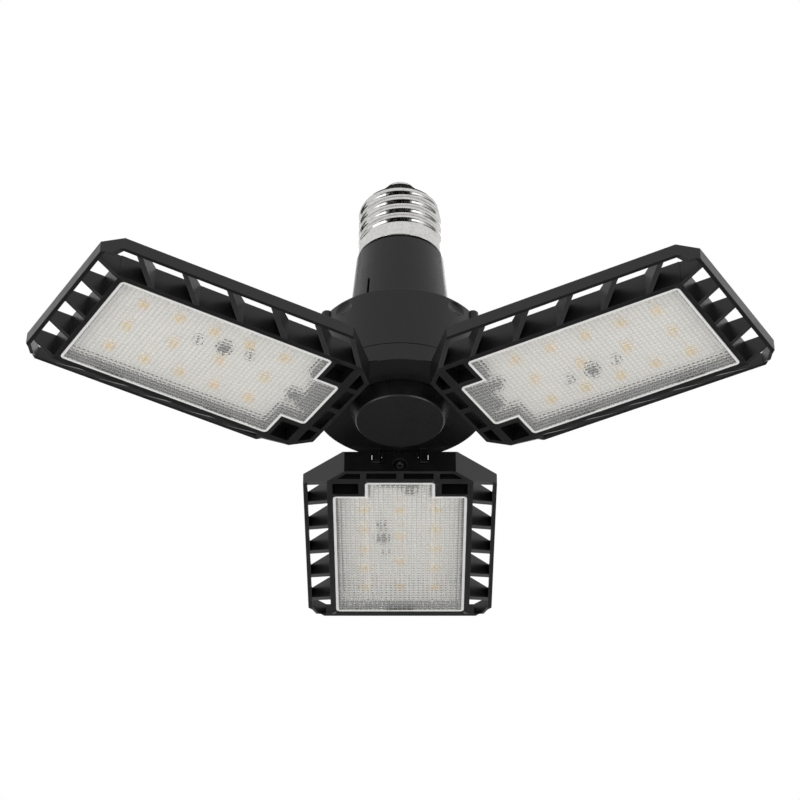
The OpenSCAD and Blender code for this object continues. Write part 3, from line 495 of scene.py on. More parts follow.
# rows along the neck's long outer face, so that the slot has its own height
outer = int(np.argmax(neck_section[:, 1] < -0.02)) - 1
slot_z = np.array([-0.0159, -0.0162, -0.0166, -0.0200, -0.0250, -0.0300, -0.0305])
slot_r = sleeve_r + (neck_base_r - sleeve_r) * (-slot_z - groove_h) / (neck_h - groove_h)
neck_section = np.vstack([neck_section[:outer + 1], np.stack([slot_r, slot_z], -1), neck_section[outer + 1:]])
# angles crowd round the slot, which is sunk where a point lies within its width and its height
away = np.radians([0.1, 1.32, 1.42, 1.58, 1.9, 2.6, 4.0, 7.0])
angles = np.sort(key_azimuth + np.concatenate([np.radians(np.arange(12, 349, 3)), away, -away]))
r, z = neck_section[:, :1], neck_section[:, 1:]
across = np.abs(np.angle(np.exp(1j * (angles - key_azimuth)))) * neck_base_r
in_width = np.clip((key_half_w - across) / key_edge, 0, 1)
in_height = np.clip((key_top - z) / 0.0004, 0, 1) * np.clip((z - key_foot) / 0.0001, 0, 1)
neck_grid = turned_points(neck_section, angles, r - key_depth * in_width * in_height * (r > sleeve_r))
neck = smooth_piece(grid_mesh("neck_sleeve_moulded", neck_grid, wrap_rows=True), hub_plastic, 35)
# the undercut next to the shell is painted near black and dull: painted shade for the shadow gap under the shell's
# edge
undercut_shade, tree, shader = new_finish("shell_undercut_painted_shade", Specular_IOR_Level=0.12)
streaks = use_group(tree, skin, Grain=3000.0).outputs["Mottle"]
feed(tree, shader, Base_Color=blend(tree, streaks, (0.0015, 0.0015, 0.0015, 1), (0.004, 0.004, 0.004, 1)),
     Roughness=remap(tree, streaks, 0, 1, 0.5, 0.7))
neck.data.materials.append(undercut_shade)
centres = np.zeros(3 * len(neck.data.polygons))
neck.data.polygons.foreach_get("center", centres)
x, y, height = centres.reshape(-1, 3).T
# faces of the undercut take the near-black painted shade
in_groove = (height < 0.0001) & (height > -groove_h + 0.00005) & (np.hypot(x, y) > shell_bore)
neck.data.polygons.foreach_set("material_index", in_groove.astype(np.int32))
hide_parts("neck_sleeve")
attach(neck, "hub")

# ---------------------------------------------------------------- drum housing
# The drum is a black moulded can round the driver. Six round dents and three small knobs sit at its
# top edge, a pair of dents and a knob over each panel, and it closes on the base at a fine seam.
drum_r = 0.0258
drum_h = 0.0266
band_h = 0.0059
bevel = 0.0002
dent_depth = 0.00075
dent_sweep = 0.0093
dent_round = 0.0039
dent_z = drum_top - 0.00275
dent_spread = 18.4
knob_r = 0.0017
panel_azimuths = {"left": 210, "right": 330, "rear": 90}
rim_z = drum_top - drum_h
seam_z = rim_z + band_h

seam_top = seam_z + 0.00015
lip_r = neck_base_r + 0.00005
inner_r = drum_r - drum_wall
section = rounded([[lip_r, drum_top - drum_wall], [lip_r, drum_top], [drum_r, drum_top], [drum_r, seam_top],
                   [inner_r, seam_top], [inner_r, drum_top - drum_wall], [lip_r, drum_top - drum_wall]],
                  [0.0002, bevel, 0.0001, 0.0002, 0.0004])[:-1]
# rows close together down the height of the dents
top_edge = int(np.nonzero((section[:, 0] > drum_r - 1e-7) & (section[:, 1] > drum_top - 0.001))[0][-1])
wall_z = np.linspace(drum_top - 0.0003, drum_top - 0.0058, 22)
wall_rows = np.stack([np.full_like(wall_z, drum_r), wall_z], -1)
section = np.vstack([section[:top_edge + 1], wall_rows, section[top_edge + 1:]])
angles = full_turn(540)
r, z = section[:, :1], section[:, 1:]
# a dent is cut by a round ring that lies level beside the wall: at each height the ring's outside is a
# circle, and a ray from the drum's axis stops where it first meets it
dent_centre = drum_r - dent_depth + dent_sweep
swept = dent_sweep - dent_round + np.sqrt(np.maximum(dent_round ** 2 - (z - dent_z) ** 2, 0))
cut = np.full((len(section), len(angles)), 1.0)
for azimuth in panel_azimuths.values():
    for apart in (-dent_spread, dent_spread):
        off = np.angle(np.exp(1j * (angles - math.radians(azimuth + apart))))
        inside = (dent_centre * np.cos(off)) ** 2 - dent_centre ** 2 + swept ** 2
        met = (inside > 0) & (np.abs(off) < 0.5) & (np.abs(z - dent_z) < dent_round)
        ring = dent_centre * np.cos(off) - np.sqrt(np.maximum(inside, 0))
        cut = np.where(met, np.minimum(cut, ring), cut)
drum_grid = turned_points(section, angles, np.where(r > drum_r - 0.0019, np.minimum(r, cut), r))
drum = smooth_piece(grid_mesh("drum_housing_moulded", drum_grid, wrap_rows=True), hub_plastic, 28)
knob = rounded([[0.0001, drum_top - 0.0025], [knob_r, drum_top - 0.0025], [knob_r, drum_top + 0.0005],
                [0.0001, drum_top + 0.0005]], [0.0002, 0.0004])
for side, azimuth in panel_azimuths.items():
    shift = way_to(azimuth, 0) * (drum_r - 0.0001)
    mesh = grid_mesh("drum_knob_" + side, turned_points(knob, full_turn(28)) + shift,
                     caps=(shift + [0, 0, knob[0, 1]], shift + [0, 0, knob[-1, 1]]))
    stud = smooth_piece(mesh, hub_plastic)
    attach(stud, "hub")
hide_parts("drum_housing")
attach(drum, "hub")

# ---------------------------------------------------------------- hub base
# The base closes the drum from below. Its ring plugs into the drum, its posts carry the driver, and
# two lugs under each panel hold a hinge pin. It is the CAD's own shape with its edges broken.


def eased_copy(node, name, finish, width, segments=2, limit=32):
    """A merged copy of a CAD node with every edge sharper than the limit rounded off."""
    source = bmesh.new()
    source.from_mesh(nodes[node].data)
    bmesh.ops.remove_doubles(source, verts=source.verts, dist=2e-7)
    mesh = bpy.data.meshes.new(name)
    source.to_mesh(mesh)
    source.free()
    mesh.materials.clear()
    made = smooth_piece(mesh, finish, 32)
    ease = made.modifiers.new("eased_edges", "BEVEL")
    ease.width = width
    ease.segments = segments
    ease.limit_method = "ANGLE"
    ease.angle_limit = math.radians(limit)
    ease.use_clamp_overlap = True
    ease.harden_normals = True
    ease.miter_outer = "MITER_ARC"
    level = made.modifiers.new("level_faces", "WEIGHTED_NORMAL")
    level.weight = 100
    level.keep_sharp = True
    return made


base = eased_copy("hub_base", "hub_base_moulded", hub_plastic, 0.00022)
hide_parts("hub_base")
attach(base, "hub")

# ---------------------------------------------------------------- bottom cap
# A shallow black dish snaps into the base and hides the leads. Its flat face has a crisp bevel, and
# its skirt flares to the foot that lies on the base.
face_r = 0.0132
foot_r = 0.0154
face_z = rim_z - 0.0045
cap_wall = 0.0016
face_top = face_z + cap_wall
leg_azimuths = (30, 150, 270)
leg_half = 13.2
leg_in_r = 0.00965
leg_out_r = 0.01085
hook_r = 0.01175
collar_in_r = 0.00945
collar_out_r = 0.0107

dish = rounded([[0.0006, face_z], [face_r, face_z], [face_r + 0.00035, face_z + 0.00035], [foot_r, rim_z - 0.0003],
                [foot_r, rim_z], [foot_r - cap_wall, rim_z], [face_r - cap_wall, face_top], [0.0006, face_top]],
               [0.00008, 0.00015, 0.0001, 0.0001, 0.0002, 0.0003])
dish_mesh = grid_mesh("bottom_cap_dish", turned_points(dish, full_turn(160)), caps=((0, 0, face_z), (0, 0, face_top)))
dish_piece = smooth_piece(dish_mesh, hub_plastic, 35)
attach(dish_piece, "hub")
hook_z = rim_z + 0.0018
hook_top = hook_z + 0.0015
leg_foot = face_top - 0.0003
leg_section = rounded([[leg_in_r + 0.00005, leg_foot], [leg_out_r, leg_foot], [leg_out_r, hook_z], [hook_r, hook_z],
                       [hook_r, hook_z + 0.0009], [hook_r - 0.0006, hook_top], [leg_in_r, hook_top],
                       [leg_in_r, leg_foot]], [0, 0.0001, 0.0001, 0.0001, 0.0001, 0.0001])[:-1]
for count, azimuth in enumerate(leg_azimuths):
    spread = np.radians(azimuth + np.linspace(-leg_half, leg_half, 9))
    grid = turned_points(leg_section, spread).transpose(1, 0, 2)
    mesh = grid_mesh(f"bottom_cap_leg_{count}", grid, caps=(grid[0].mean(0), grid[-1].mean(0)))
    leg = smooth_piece(mesh, hub_plastic)
    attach(leg, "hub")
collar_foot, collar_top = face_top - 0.0001, rim_z - 0.0009
collar = rounded([[collar_out_r, collar_foot], [collar_out_r, collar_top], [collar_in_r, collar_top],
                  [collar_in_r, collar_foot]], [0.0002, 0.0002])
collar_grid = turned_points(collar, full_turn(96))
collar_piece = smooth_piece(grid_mesh("bottom_cap_collar", collar_grid, wrap_rows=True), hub_plastic)
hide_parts("bottom_cap")
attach(collar_piece, "hub")

# ---------------------------------------------------------------- panel frames
# Each panel is one black moulding: a tray with a seat for the lens, a thin rim round it on slanted
# ribs, pockets at the inner end and the block that turns on the hinge pin.
frame_plastic = moulded_plastic("frame_plastic", (0.0045, 0.0045, 0.0048, 1), (0.0075, 0.0075, 0.008, 1),
                                (0.04, 0.04, 0.042, 1), 0.32, 4600.0, 0.00028, 0.14)
for side in panel_azimuths:
    moulding = eased_copy("panel_frame_" + side, f"panel_frame_{side}_moulded", frame_plastic, 0.0002)
    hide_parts("panel_frame_" + side)
    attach(moulding, "panel_" + side)

# ---------------------------------------------------------------- lenses
# Each lens is an injection-moulded acrylic plate, clear, with a smooth flange round a field of small
# square prisms on its face and a tongue at the inner end. It lies in the seat of the frame's tray.
lens_x = 0.0346
lens_end = 0.1036
tab_x = 0.0268
lens_half = 0.02087
tab_half = 0.01085
lens_t = 0.0016
lens_corner = 0.0013
flange = 0.0008
prism_w = 0.00149
furrow_w = 0.00008
prism_depth = 0.00018
pin_at = np.array([0.0228, 0, -0.06112])
pin_in_panel = np.array([0.0228, 0, 0.00525])
rises = {"left": 2.4, "right": 0.8, "rear": 1.3}


def on_panel(points, side):
    """Points of a panel's own frame (outwards, across, up from the lens face) carried to the light:
    tilted about the hinge pin by the panel's rise, then turned to its azimuth."""
    p = np.asarray(points, float) - pin_in_panel
    b = math.radians(rises[side])
    p = np.stack([p[..., 0] * math.cos(b) - p[..., 2] * math.sin(b), p[..., 1],
                  p[..., 0] * math.sin(b) + p[..., 2] * math.cos(b)], -1) + pin_at
    a = math.radians(panel_azimuths[side])
    return np.stack([p[..., 0] * math.cos(a) - p[..., 1] * math.sin(a),
                     p[..., 0] * math.sin(a) + p[..., 1] * math.cos(a), p[..., 2]], -1)


def lens_grid():
    """Grid lines of the plate: at the middle of every prism and on both sides of every furrow between
    prisms, with lines of their own at the edges and the corners. Also gives where the field of prisms
    starts and half the width of a prism, each way."""
    count_x = round((lens_end - tab_x - 2 * flange) / prism_w)
    count_y = round((2 * lens_half - 2 * flange) / prism_w)
    borders_x = np.linspace(tab_x + flange, lens_end - flange, count_x + 1)
    borders_y = np.linspace(-lens_half + flange, lens_half - flange, count_y + 1)
    field_x, field_y = [np.concatenate([b[[0, -1]], b[:-1] + furrow_w, b[1:] - furrow_w, (b[1:] + b[:-1]) / 2])
                        for b in (borders_x, borders_y)]
    inset = np.array([0, 0.0004, 0.0008])
    ends_x = np.concatenate([tab_x + inset, lens_x + inset, lens_end - inset])
    ends_y = np.concatenate([tab_half - np.array([0, 0.0005, 0.0009]), lens_half - inset])
    lines_x = np.unique(np.round(np.concatenate([field_x, ends_x]), 8))
    lines_y = np.unique(np.round(np.concatenate([field_y, ends_y, -ends_y]), 8))
    return lines_x, lines_y, *[(b[0], (b[1] - b[0]) / 2) for b in (borders_x, borders_y)]


def off_middle(place, start, half_w):
    """How far a place is from the middle of its prism, as a share of half the prism's width."""
    return np.abs((place - start) / (2 * half_w) % 1 - 0.5) * 2


lines_x, lines_y, prisms_x, prisms_y = lens_grid()
gx, gy = np.meshgrid(lines_x, lines_y, indexing="ij")
# kept cells: the plate's outline with its tongue
middle_x, middle_y = (gx[1:, 1:] + gx[:-1, :-1]) / 2, (gy[1:, 1:] + gy[:-1, :-1]) / 2
kept = (middle_x > lens_x) | (np.abs(middle_y) < tab_half)
# prisms: a pyramid sunk into each cell, as deep as the place is far from the cell's nearest side
near = 1e-6
in_plate = (gx > lens_x + flange - near) & (gx < lens_end - flange + near) & (np.abs(gy) < lens_half - flange + near)
in_tongue = (gx > tab_x + flange - near) & (gx < lens_x + flange + near) & (np.abs(gy) < tab_half - flange + near)
in_field = in_plate | in_tongue
sink = prism_depth * (1 - np.maximum(off_middle(gx, *prisms_x), off_middle(gy, *prisms_y))) * in_field
inner_cell = in_field[:-1, :-1] & in_field[1:, :-1] & in_field[1:, 1:] & in_field[:-1, 1:]
furrow_cell = (off_middle(middle_x, *prisms_x) * prisms_x[1] > prisms_x[1] - furrow_w) | (
    off_middle(middle_y, *prisms_y) * prisms_y[1] > prisms_y[1] - furrow_w)
# the corners are drawn in to arcs: a square of one corner radius is mapped onto a quarter disc
cx, cy = gx.copy(), gy.copy()
for edge_x, way, edge_y in [(lens_end, 1, lens_half), (tab_x, -1, tab_half), (lens_x, -1, lens_half)]:
    s = np.clip((way * (gx - edge_x) + lens_corner) / lens_corner, 0, None)
    w = np.clip((np.abs(gy) - edge_y + lens_corner) / lens_corner, 0, None)
    here = (s > 0) & (w > 0) & (s < 1.001) & (w < 1.001)
    disc_s, disc_w = s * np.sqrt(np.clip(1 - w ** 2 / 2, 0, 1)), w * np.sqrt(np.clip(1 - s ** 2 / 2, 0, 1))
    cx = np.where(here, edge_x + way * lens_corner * (disc_s - 1), cx)
    cy = np.where(here, np.sign(gy) * (edge_y + lens_corner * (disc_w - 1)), cy)
front = np.stack([cx, cy, sink], -1)
back = np.stack([cx, cy, np.full(cx.shape, lens_t)], -1)


def plate_faces():
    """Triangles of the plate: its front and back over the kept cells, split so that each quarter of a
    prism keeps its slope, and a wall along every border between kept and dropped cells. Also gives the
    finish of each: 0 clear, 1 frosted, 2 furrow."""
    rows, columns = gx.shape
    index = np.arange(rows * columns).reshape(rows, columns)
    a, b, c, d = index[:-1, :-1][kept], index[1:, :-1][kept], index[1:, 1:][kept], index[:-1, 1:][kept]
    depth = sink.ravel()
    along = depth[a] + depth[c] >= depth[b] + depth[d]
    first = np.where(along[:, None], np.stack([a, c, b], -1), np.stack([a, d, b], -1))
    second = np.where(along[:, None], np.stack([a, d, c], -1), np.stack([b, d, c], -1))
    offset = rows * columns
    backs = np.vstack([first, second])[:, ::-1] + offset
    padded = np.pad(kept, 1)
    walls = []
    for p, q, beyond in [((0, 0), (0, 1), padded[:-2, 1:-1]), ((1, 1), (1, 0), padded[2:, 1:-1]),
                         ((1, 0), (0, 0), padded[1:-1, :-2]), ((0, 1), (1, 1), padded[1:-1, 2:])]:
        i, j = np.nonzero(kept & ~beyond)
        s, e = index[i + p[0], j + p[1]], index[i + q[0], j + q[1]]
        walls += [np.stack([s, e, e + offset], -1), np.stack([s, e + offset, s + offset], -1)]
    # front faces in the furrows take finish 2, the grey painted shade
    fronts = np.tile(np.where(inner_cell, 2 * furrow_cell, 1)[kept], 2)
    kinds = np.concatenate([fronts, np.zeros(len(backs), int), np.ones(sum(len(w) for w in walls), int)])
    return np.vstack([first, second, backs] + walls), kinds


acrylic, tree, shader = new_finish("lens_acrylic", IOR=1.49, Transmission_Weight=0.9)
haze = use_group(tree, marks, Scale=500.0, Stretch=1.0)
feed(tree, shader, Base_Color=blend(tree, haze.outputs["Smudges"], (1.0, 0.995, 0.985, 1), (0.975, 0.97, 0.955, 1)),
     Roughness=remap(tree, haze.outputs["Smudges"], 0, 1, 0.03, 0.09),
     Normal=bumped(tree, haze.outputs["Scratches"], 0.05, 0.00003))
let_through = add_node(tree, "ShaderNodeBsdfTransparent", {"Color": (0.95, 0.95, 0.94, 1)})
lamp_ray = add_node(tree, "ShaderNodeLightPath").outputs["Is Shadow Ray"]
both = add_node(tree, "ShaderNodeMixShader", {0: lamp_ray, 1: shader.outputs[0], 2: let_through.outputs[0]})
tree.links.new(both.outputs[0], tree.nodes["Material Output"].inputs["Surface"])


def dull_acrylic(name, clear, light, dark, scale):
    """Acrylic that scatters most of the light, cloudy in smudges and rougher along its scratches."""
    made, tree, shader = new_finish(name, Transmission_Weight=clear, IOR=1.49)
    cloud = use_group(tree, marks, Scale=scale, Stretch=1.0)
    feed(tree, shader, Base_Color=blend(tree, cloud.outputs["Smudges"], light, dark),
         Roughness=remap(tree, cloud.outputs["Scratches"], 0, 1, 0.3, 0.45))
    return made


# the flange and the plate's edges look frosted; the furrows between prisms are painted grey, painted shade for the
# dark grid lines that the prisms show
frost = dull_acrylic("lens_flange", 0.15, (0.95, 0.95, 0.93, 1), (0.9, 0.9, 0.88, 1), 700.0)
furrow_shade = dull_acrylic("lens_furrow_painted_shade", 0.35, (0.52, 0.515, 0.5, 1), (0.46, 0.455, 0.44, 1), 900.0)

faces, kinds = plate_faces()
used = np.unique(faces)
renumber = np.zeros(2 * gx.size, int)
renumber[used] = np.arange(len(used))
for side in panel_azimuths:
    points = on_panel(np.concatenate([front.reshape(-1, 3), back.reshape(-1, 3)])[used], side)
    mesh = bpy.data.meshes.new("lens_" + side + "_plate")
    mesh.from_pydata(points.tolist(), [], renumber[faces].tolist())
    mesh.update()
    plate = smooth_piece(mesh, acrylic, 5)
    mesh.materials.append(frost)
    mesh.materials.append(furrow_shade)
    mesh.polygons.foreach_set("material_index", kinds.astype(np.int32))
    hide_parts("lens_" + side)
    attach(plate, "panel_" + side)

# ---------------------------------------------------------------- light boards
# White-masked aluminium-backed boards. The mask is glossy and slightly uneven over the copper, whose
# edges show as faint steps.
board_mask, tree, shader = new_finish("white_board", Coat_Weight=0.2, Coat_Roughness=0.15)
where = object_place(tree)
copper = add_node(tree, "ShaderNodeTexVoronoi", {"Vector": where, "Scale": 95.0}, distance="CHEBYCHEV")
field = remap(tree, add_node(tree, "ShaderNodeSeparateColor", {0: copper.outputs["Color"]}).outputs[0], 0.0, 1.0)
half_field = calc(tree, "MULTIPLY", field, 0.5)
feed(tree, shader, Base_Color=blend(tree, half_field, (0.9, 0.89, 0.86, 1), (0.86, 0.85, 0.82, 1)),
     Roughness=remap(tree, noise(tree, where, 400.0, 3.0), 0.35, 0.7, 0.28, 0.42),
     Normal=bumped(tree, field, 0.4, 0.00005))
for side in panel_azimuths:
    nodes["light_board_" + side].data.materials[0] = board_mask

# ---------------------------------------------------------------- light chips
# Fourteen chips a panel, soldered to the board in rows of 5, 4 and 5. Each is a cream moulded cup with
# a flat window of yellow phosphor.
board_z = 0.00395
chip_h = 0.0008
window_z = board_z - chip_h + 0.00008
window_ring = 4
chip_spots = [(0.0457 + k * 0.0116, s * 0.0114) for s in (-1, 1) for k in range(5)]
chip_spots += [(0.0462 + k * 0.01525, 0.0) for k in range(4)]


def drifting(name, colour, other, low, high, scale, detail=3.0, full=0.68, bump=0.0, **values):
    """A finish whose colour and shine drift between two values over a noise of the given scale, which is
    also its bump."""
    made, tree, shader = new_finish(name, **values)
    drift = noise(tree, object_place(tree), scale, detail)
    feed(tree, shader, Base_Color=blend(tree, remap(tree, drift, 0.35, full), colour, other),
         Roughness=remap(tree, drift, 0.3, 0.7, low, high))
    if bump:
        feed(tree, shader, Normal=bumped(tree, drift, bump, 0.00004))
    return made


chip_cup = drifting("chip_cup", (0.9, 0.85, 0.74, 1), (0.86, 0.8, 0.68, 1), 0.35, 0.5, 2600.0, 2.0, 0.7)
phosphor = drifting("chip_phosphor", (0.95, 0.72, 0.3, 1), (0.92, 0.64, 0.25, 1), 0.3, 0.45, 5000.0,
                    Coat_Weight=0.5, Coat_Roughness=0.1)


def chip_points(spots):
    """Rings of one chip from the board to the window's middle, each a square with cut corners whose half
    side and height follow the cup's section, repeated at every spot. Returns (spots, rings, 8, 3)."""
    rings = np.array([[0.0017, board_z], [0.0017, board_z - 0.00035], [0.00162, board_z - chip_h + 0.00005],
                      [0.00157, board_z - chip_h], [0.0014, board_z - chip_h],
                      [0.00132, board_z - chip_h + 0.0001], [0.0007, window_z]])
    # eight corners of a ring: squarer outside and rounder inside, by the share of each
    square, rounder = [np.array([[1, c], [c, 1], [-c, 1], [-1, c], [-1, -c], [-c, -1], [c, -1], [1, -c]])
                       for c in (0.92, 0.55)]
    share = np.array([1, 1, 1, 1, 0.8, 0.8, 0.4])[:, None, None]
    flat = rings[:, :1, None] * (share * square + (1 - share) * rounder)
    one = np.concatenate([flat, np.repeat(rings[:, 1:, None], 8, 1)], -1)
    return one[None] + np.insert(spots, 2, 0, 1)[:, None, None, :]


chips = chip_points(chip_spots)
rings = chips.shape[1]
tips = np.insert(chip_spots, 2, window_z, 1)
backs = np.insert(chip_spots, 2, board_z, 1)
k, j = np.meshgrid(np.arange(rings - 1), np.arange(8), indexing="ij")
quads = np.stack([k * 8 + j, (k + 1) * 8 + j, (k + 1) * 8 + (j + 1) % 8, k * 8 + (j + 1) % 8], -1).reshape(-1, 4)
size = rings * 8 + 2
a = np.arange(8)
tip_fan = np.stack([(rings - 1) * 8 + a, np.full(8, size - 2), (rings - 1) * 8 + (a + 1) % 8], -1)
back_fan = np.stack([a, (a + 1) % 8, np.full(8, size - 1)], -1)
start = (np.arange(len(chip_spots)) * size)[:, None, None]
faces = (quads + start).reshape(-1, 4).tolist() + (np.vstack([tip_fan, back_fan]) + start).reshape(-1, 3).tolist()
points = np.concatenate([chips.reshape(len(chip_spots), -1, 3), tips[:, None], backs[:, None]], 1)
window = np.concatenate([np.tile(quads[:, 0] >= 8 * window_ring, len(chip_spots)),
                         np.tile(np.repeat([True, False], 8), len(chip_spots))])
for side in panel_azimuths:
    mesh = bpy.data.meshes.new("light_chips_" + side + "_cups")
    mesh.from_pydata(on_panel(points, side).reshape(-1, 3).tolist(), [], faces)
    piece = smooth_piece(mesh, chip_cup, 30)
    mesh.materials.append(phosphor)
    mesh.polygons.foreach_set("material_index", window.astype(np.int32))
    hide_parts("light_chips_" + side)
    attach(piece, "panel_" + side)

# ---------------------------------------------------------------- board resistors
# Small black film resistors with tinned ends, two to a board. They are soldered flat beside the middle
# screw, between the rows of chips.
resistor_spots = [(0.0711, 0.0047), (0.0549, 0.0064)]
resistor_body = drifting("resistor_film", (0.03, 0.03, 0.032, 1), (0.06, 0.06, 0.062, 1), 0.3, 0.5, 4000.0, 2.0, 0.7)
tin = plated_metal("solder_tin", (0.72, 0.72, 0.7, 1), (0.5, 0.5, 0.48, 1), 0.3, 0.6, 2500.0)
# sections along the part: distance from its middle, half width and height, more at the tinned ends
profile = np.array([[-0.0016, 0.0006, 0.00045], [-0.00155, 0.0008, 0.0006], [-0.0011, 0.0008, 0.0006],
                    [-0.00105, 0.00075, 0.00055], [0.00105, 0.00075, 0.00055], [0.0011, 0.0008, 0.0006],
                    [0.00155, 0.0008, 0.0006], [0.0016, 0.0006, 0.00045]])
arch = np.array([[1, 0], [1, 0.9], [0.9, 1], [-0.9, 1], [-1, 0.9], [-1, 0]])


def panel_grid(name, points, side):
    """A grid of points of a panel as a mesh in place, closed at the middles of its first and last rows."""
    caps = [on_panel(points[row].mean(0), side) for row in (0, -1)]
    return grid_mesh(name, on_panel(points, side), caps=caps)


def joined(name, meshes):
    """One mesh made of several, which it uses up."""
    whole = bmesh.new()
    for one in meshes:
        whole.from_mesh(one)
        bpy.data.meshes.remove(one)
    mesh = bpy.data.meshes.new(name)
    whole.to_mesh(mesh)
    whole.free()
    return mesh


# the faces go row by row along the part, then over its two ends, and all but the middle row are tinned
rows = np.concatenate([np.repeat(np.arange(7), 6), np.zeros(6), np.full(6, 6)])
tinned = np.tile((rows != 3).astype(np.int32), len(resistor_spots))
for side in panel_azimuths:
    bodies = [np.stack([np.repeat(profile[:, :1], 6, 1) + x, profile[:, 1:2] * arch[:, 0] + y,
                        board_z - profile[:, 2:] * arch[:, 1]], -1) for x, y in resistor_spots]
    mesh = joined("board_resistors_" + side, [panel_grid("part", body, side) for body in bodies])
    piece = smooth_piece(mesh, resistor_body, 30)
    mesh.materials.append(tin)
    mesh.polygons.foreach_set("material_index", tinned)
    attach(piece, "panel_" + side)

# ---------------------------------------------------------------- lead plugs
# A low black moulded plug joins the leads to each board under the lens's tongue. It has a ridge along
# its back, a latch in the middle and a chamfer at both ends.
plug_plastic = moulded_plastic("plug_plastic", (0.006, 0.006, 0.006, 1), (0.011, 0.011, 0.011, 1),
                               (0.05, 0.05, 0.05, 1), 0.35)
plug_h = 0.0014
# the section along the panel (place, share of the height) and its rise along the plug's length
plug_section = np.array([[0.0284, 0], [0.0284, 1.0], [0.0286, 1.15], [0.0293, 1.15], [0.0295, 1.0], [0.0322, 1.0],
                         [0.0325, 0.8], [0.0325, 0]])
plug_across = np.array([-6.6, -6.3, -6.29, -2.0, -1.9, 1.9, 2.0, 6.29, 6.3, 6.6])[:, None] / 1000
plug_rise = np.array([0.6, 1.0, 1.0, 1.0, 1.12, 1.12, 1.0, 1.0, 1.0, 0.6])[:, None]
plug = np.stack(np.broadcast_arrays(plug_section[:, 0], plug_across,
                                    board_z + 0.00002 - plug_h * plug_rise * plug_section[:, 1]), -1)
for side in panel_azimuths:
    piece = smooth_piece(panel_grid("lead_plug_" + side, plug, side), plug_plastic, 30)
    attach(piece, "panel_" + side)

# ---------------------------------------------------------------- heat plates
# Each board is clamped on a stamped aluminium plate with a brushed face, which lies on the floor of the
# tray and spreads the heat of the chips.
plate_metal = plated_metal("plate_aluminium", (0.78, 0.78, 0.79, 1), (0.6, 0.6, 0.61, 1), 0.3, 0.5, 300.0)
for side in panel_azimuths:
    nodes["heat_plate_" + side].data.materials[0] = plate_metal

# ---------------------------------------------------------------- screws
# Black-finished pan-head screws with a cross recess hold the board and close the panel's inner end. Each
# is headed from steel wire, and its thread is rolled.
screw_black, tree, shader = new_finish("screw_black", Metallic=0.85)
rubbed = use_group(tree, marks, Scale=1600.0, Stretch=1.0)
worn_edge = use_group(tree, edges, Radius=0.0002, Breakup=3500.0)
oxide = blend(tree, rubbed.outputs["Smudges"], (0.03, 0.03, 0.032, 1), (0.07, 0.07, 0.072, 1))
feed(tree, shader,
     Base_Color=blend(tree, calc(tree, "MULTIPLY", worn_edge.outputs["Edge"], 0.5), oxide, (0.35, 0.34, 0.33, 1)),
     Roughness=remap(tree, rubbed.outputs["Smudges"], 0, 1, 0.32, 0.5))
board_screw_spots = [(0.0628, 0.0054), (0.035, -0.0032)]
board_head_h = 0.0012
end_screw_at = (0.0204, 0.0026)


def screw_grid(head_r, head_h, shank_r, length, cross_w, cross_l, steps=64):
    """A pan-head screw along +Z from its crown at 0: rings from the recess's middle over the crown and the
    head's side to the shank and its tip. The recess is a cross, sunk where a point lies nearer to either
    arm's axis than half its width, and its depth fades to the arm's end."""
    angles = full_turn(steps)
    crown_r = np.linspace(0.04, 1, 17) * head_r * 0.94
    crown_z = 0.22 * head_h * (crown_r / head_r) ** 2.2
    x, y = crown_r[:, None] * np.cos(angles), crown_r[:, None] * np.sin(angles)
    arm = np.minimum(np.abs(x), np.abs(y))
    reach = np.maximum(np.abs(x), np.abs(y))
    deep = (np.clip((cross_w / 2 - arm) / (0.25 * cross_w) + 0.5, 0, 1)
            * np.clip((cross_l - reach) / (0.3 * cross_l) + 0.3, 0, 1))
    crown = np.stack([x, y, crown_z[:, None] + 0.55 * head_h * deep], -1)
    lower = np.array([[head_r * 0.985, 0.3 * head_h], [head_r, 0.45 * head_h], [head_r, 0.94 * head_h],
                      [head_r * 0.98, head_h], [shank_r, head_h], [shank_r, head_h + 0.02 * length]])
    shank_z = np.linspace(head_h + 0.04 * length, length * 0.9, 28)
    ridge = shank_r * (1 - 0.14 * (0.5 + 0.5 * np.cos(2 * math.pi * shank_z[:, None] / (shank_r * 0.9) - angles)))
    shank = turned_points(np.stack([shank_z, shank_z], -1), angles, ridge)
    tip = turned_points(np.array([[shank_r * 0.5, length * 0.97], [shank_r * 0.12, length]]), angles)
    return np.concatenate([crown, turned_points(lower, angles), shank, tip])


board_screw = screw_grid(head_r=0.0021, head_h=board_head_h, shank_r=0.0009, length=0.0045,
                         cross_w=0.0007, cross_l=0.0014)
for side in panel_azimuths:
    placed = [board_screw + [x, y, board_z - board_head_h] for x, y in board_screw_spots]
    mesh = joined(f"board_screws_{side}_pan_head", [panel_grid("part", points, side) for points in placed])
    piece = smooth_piece(mesh, screw_black, 35)
    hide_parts("board_screws_" + side)
    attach(piece, "panel_" + side)

end_screw = screw_grid(head_r=0.0013, head_h=0.0006, shank_r=0.0007, length=0.0045,
                       cross_w=0.0005, cross_l=0.0009, steps=48)
# laid over so that the crown looks out of the panel's inner end
end_screw = end_screw[..., ::-1] + [end_screw_at[0], 0, end_screw_at[1]]
for side in panel_azimuths:
    mesh = panel_grid(f"end_screw_{side}_pan_head", end_screw, side)
    piece = smooth_piece(mesh, screw_black, 35)
    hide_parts("end_screw_" + side)
    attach(piece, "panel_" + side)

# ---------------------------------------------------------------- hinge pins and washers
# Blackened steel pins, pressed into the lugs, with a thin spring washer at each side that gives the
# friction.
pin_steel = plated_metal("pin_steel", (0.012, 0.012, 0.013, 1), (0.02, 0.02, 0.021, 1), 0.4, 0.6, 1800.0)
for side in panel_azimuths:
    nodes["hinge_pin_" + side].data.materials[0] = pin_steel
    nodes["friction_washers_" + side].data.materials[0] = pin_steel

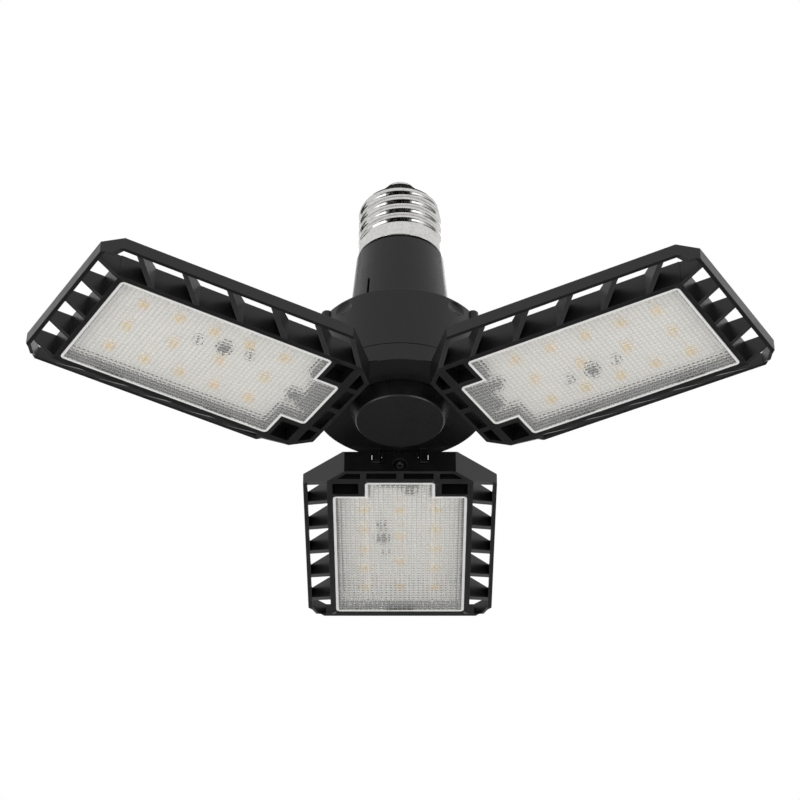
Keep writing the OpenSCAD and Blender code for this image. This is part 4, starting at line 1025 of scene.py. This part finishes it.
# ---------------------------------------------------------------- driver
# The driver's board and its parts fill the drum. They are hidden when the light is whole, and each has
# the finish of the real part.
driver_finishes = {
    "driver_board": ("green_board", (0.02, 0.16, 0.06, 1), (0.035, 0.22, 0.08, 1), 0.25, 0.4, 300.0),
    "reservoir_capacitor": ("capacitor_sleeve", (0.02, 0.03, 0.1, 1), (0.03, 0.04, 0.13, 1), 0.2, 0.35, 500.0),
    "choke_core": ("ferrite", (0.05, 0.05, 0.053, 1), (0.09, 0.09, 0.095, 1), 0.5, 0.7, 2200.0),
    "choke_winding": ("yellow_tape", (0.75, 0.5, 0.05, 1), (0.82, 0.58, 0.1, 1), 0.2, 0.35, 700.0),
    "bridge_rectifier": ("black_epoxy", (0.02, 0.02, 0.02, 1), (0.035, 0.035, 0.035, 1), 0.4, 0.55, 3000.0),
    "film_capacitor": ("yellow_case", (0.78, 0.5, 0.05, 1), (0.82, 0.56, 0.08, 1), 0.25, 0.4, 900.0),
    "fuse_resistor": ("tan_ceramic", (0.55, 0.44, 0.3, 1), (0.6, 0.5, 0.36, 1), 0.5, 0.65, 1500.0),
    "control_chips": ("chip_epoxy", (0.02, 0.02, 0.02, 1), (0.035, 0.035, 0.035, 1), 0.35, 0.5, 3500.0),
    "output_terminals": ("ivory_plastic", (0.78, 0.74, 0.62, 1), (0.83, 0.8, 0.7, 1), 0.4, 0.5, 1200.0),
    "live_lead": ("red_insulation", (0.5, 0.02, 0.015, 1), (0.58, 0.04, 0.03, 1), 0.35, 0.5, 1600.0),
    "neutral_lead": ("white_insulation", (0.8, 0.8, 0.77, 1), (0.86, 0.86, 0.84, 1), 0.35, 0.5, 1600.0),
}
for node, looks in driver_finishes.items():
    nodes[node].data.materials[0] = drifting(*looks, bump=0.15)
nodes["driver_screws"].data.materials[0] = pin_steel
nodes["output_leads"].data.materials[0] = nodes["live_lead"].data.materials[0]
for side in panel_azimuths:
    nodes["panel_lead_" + side].data.materials[0] = nodes["neutral_lead"].data.materials[0]
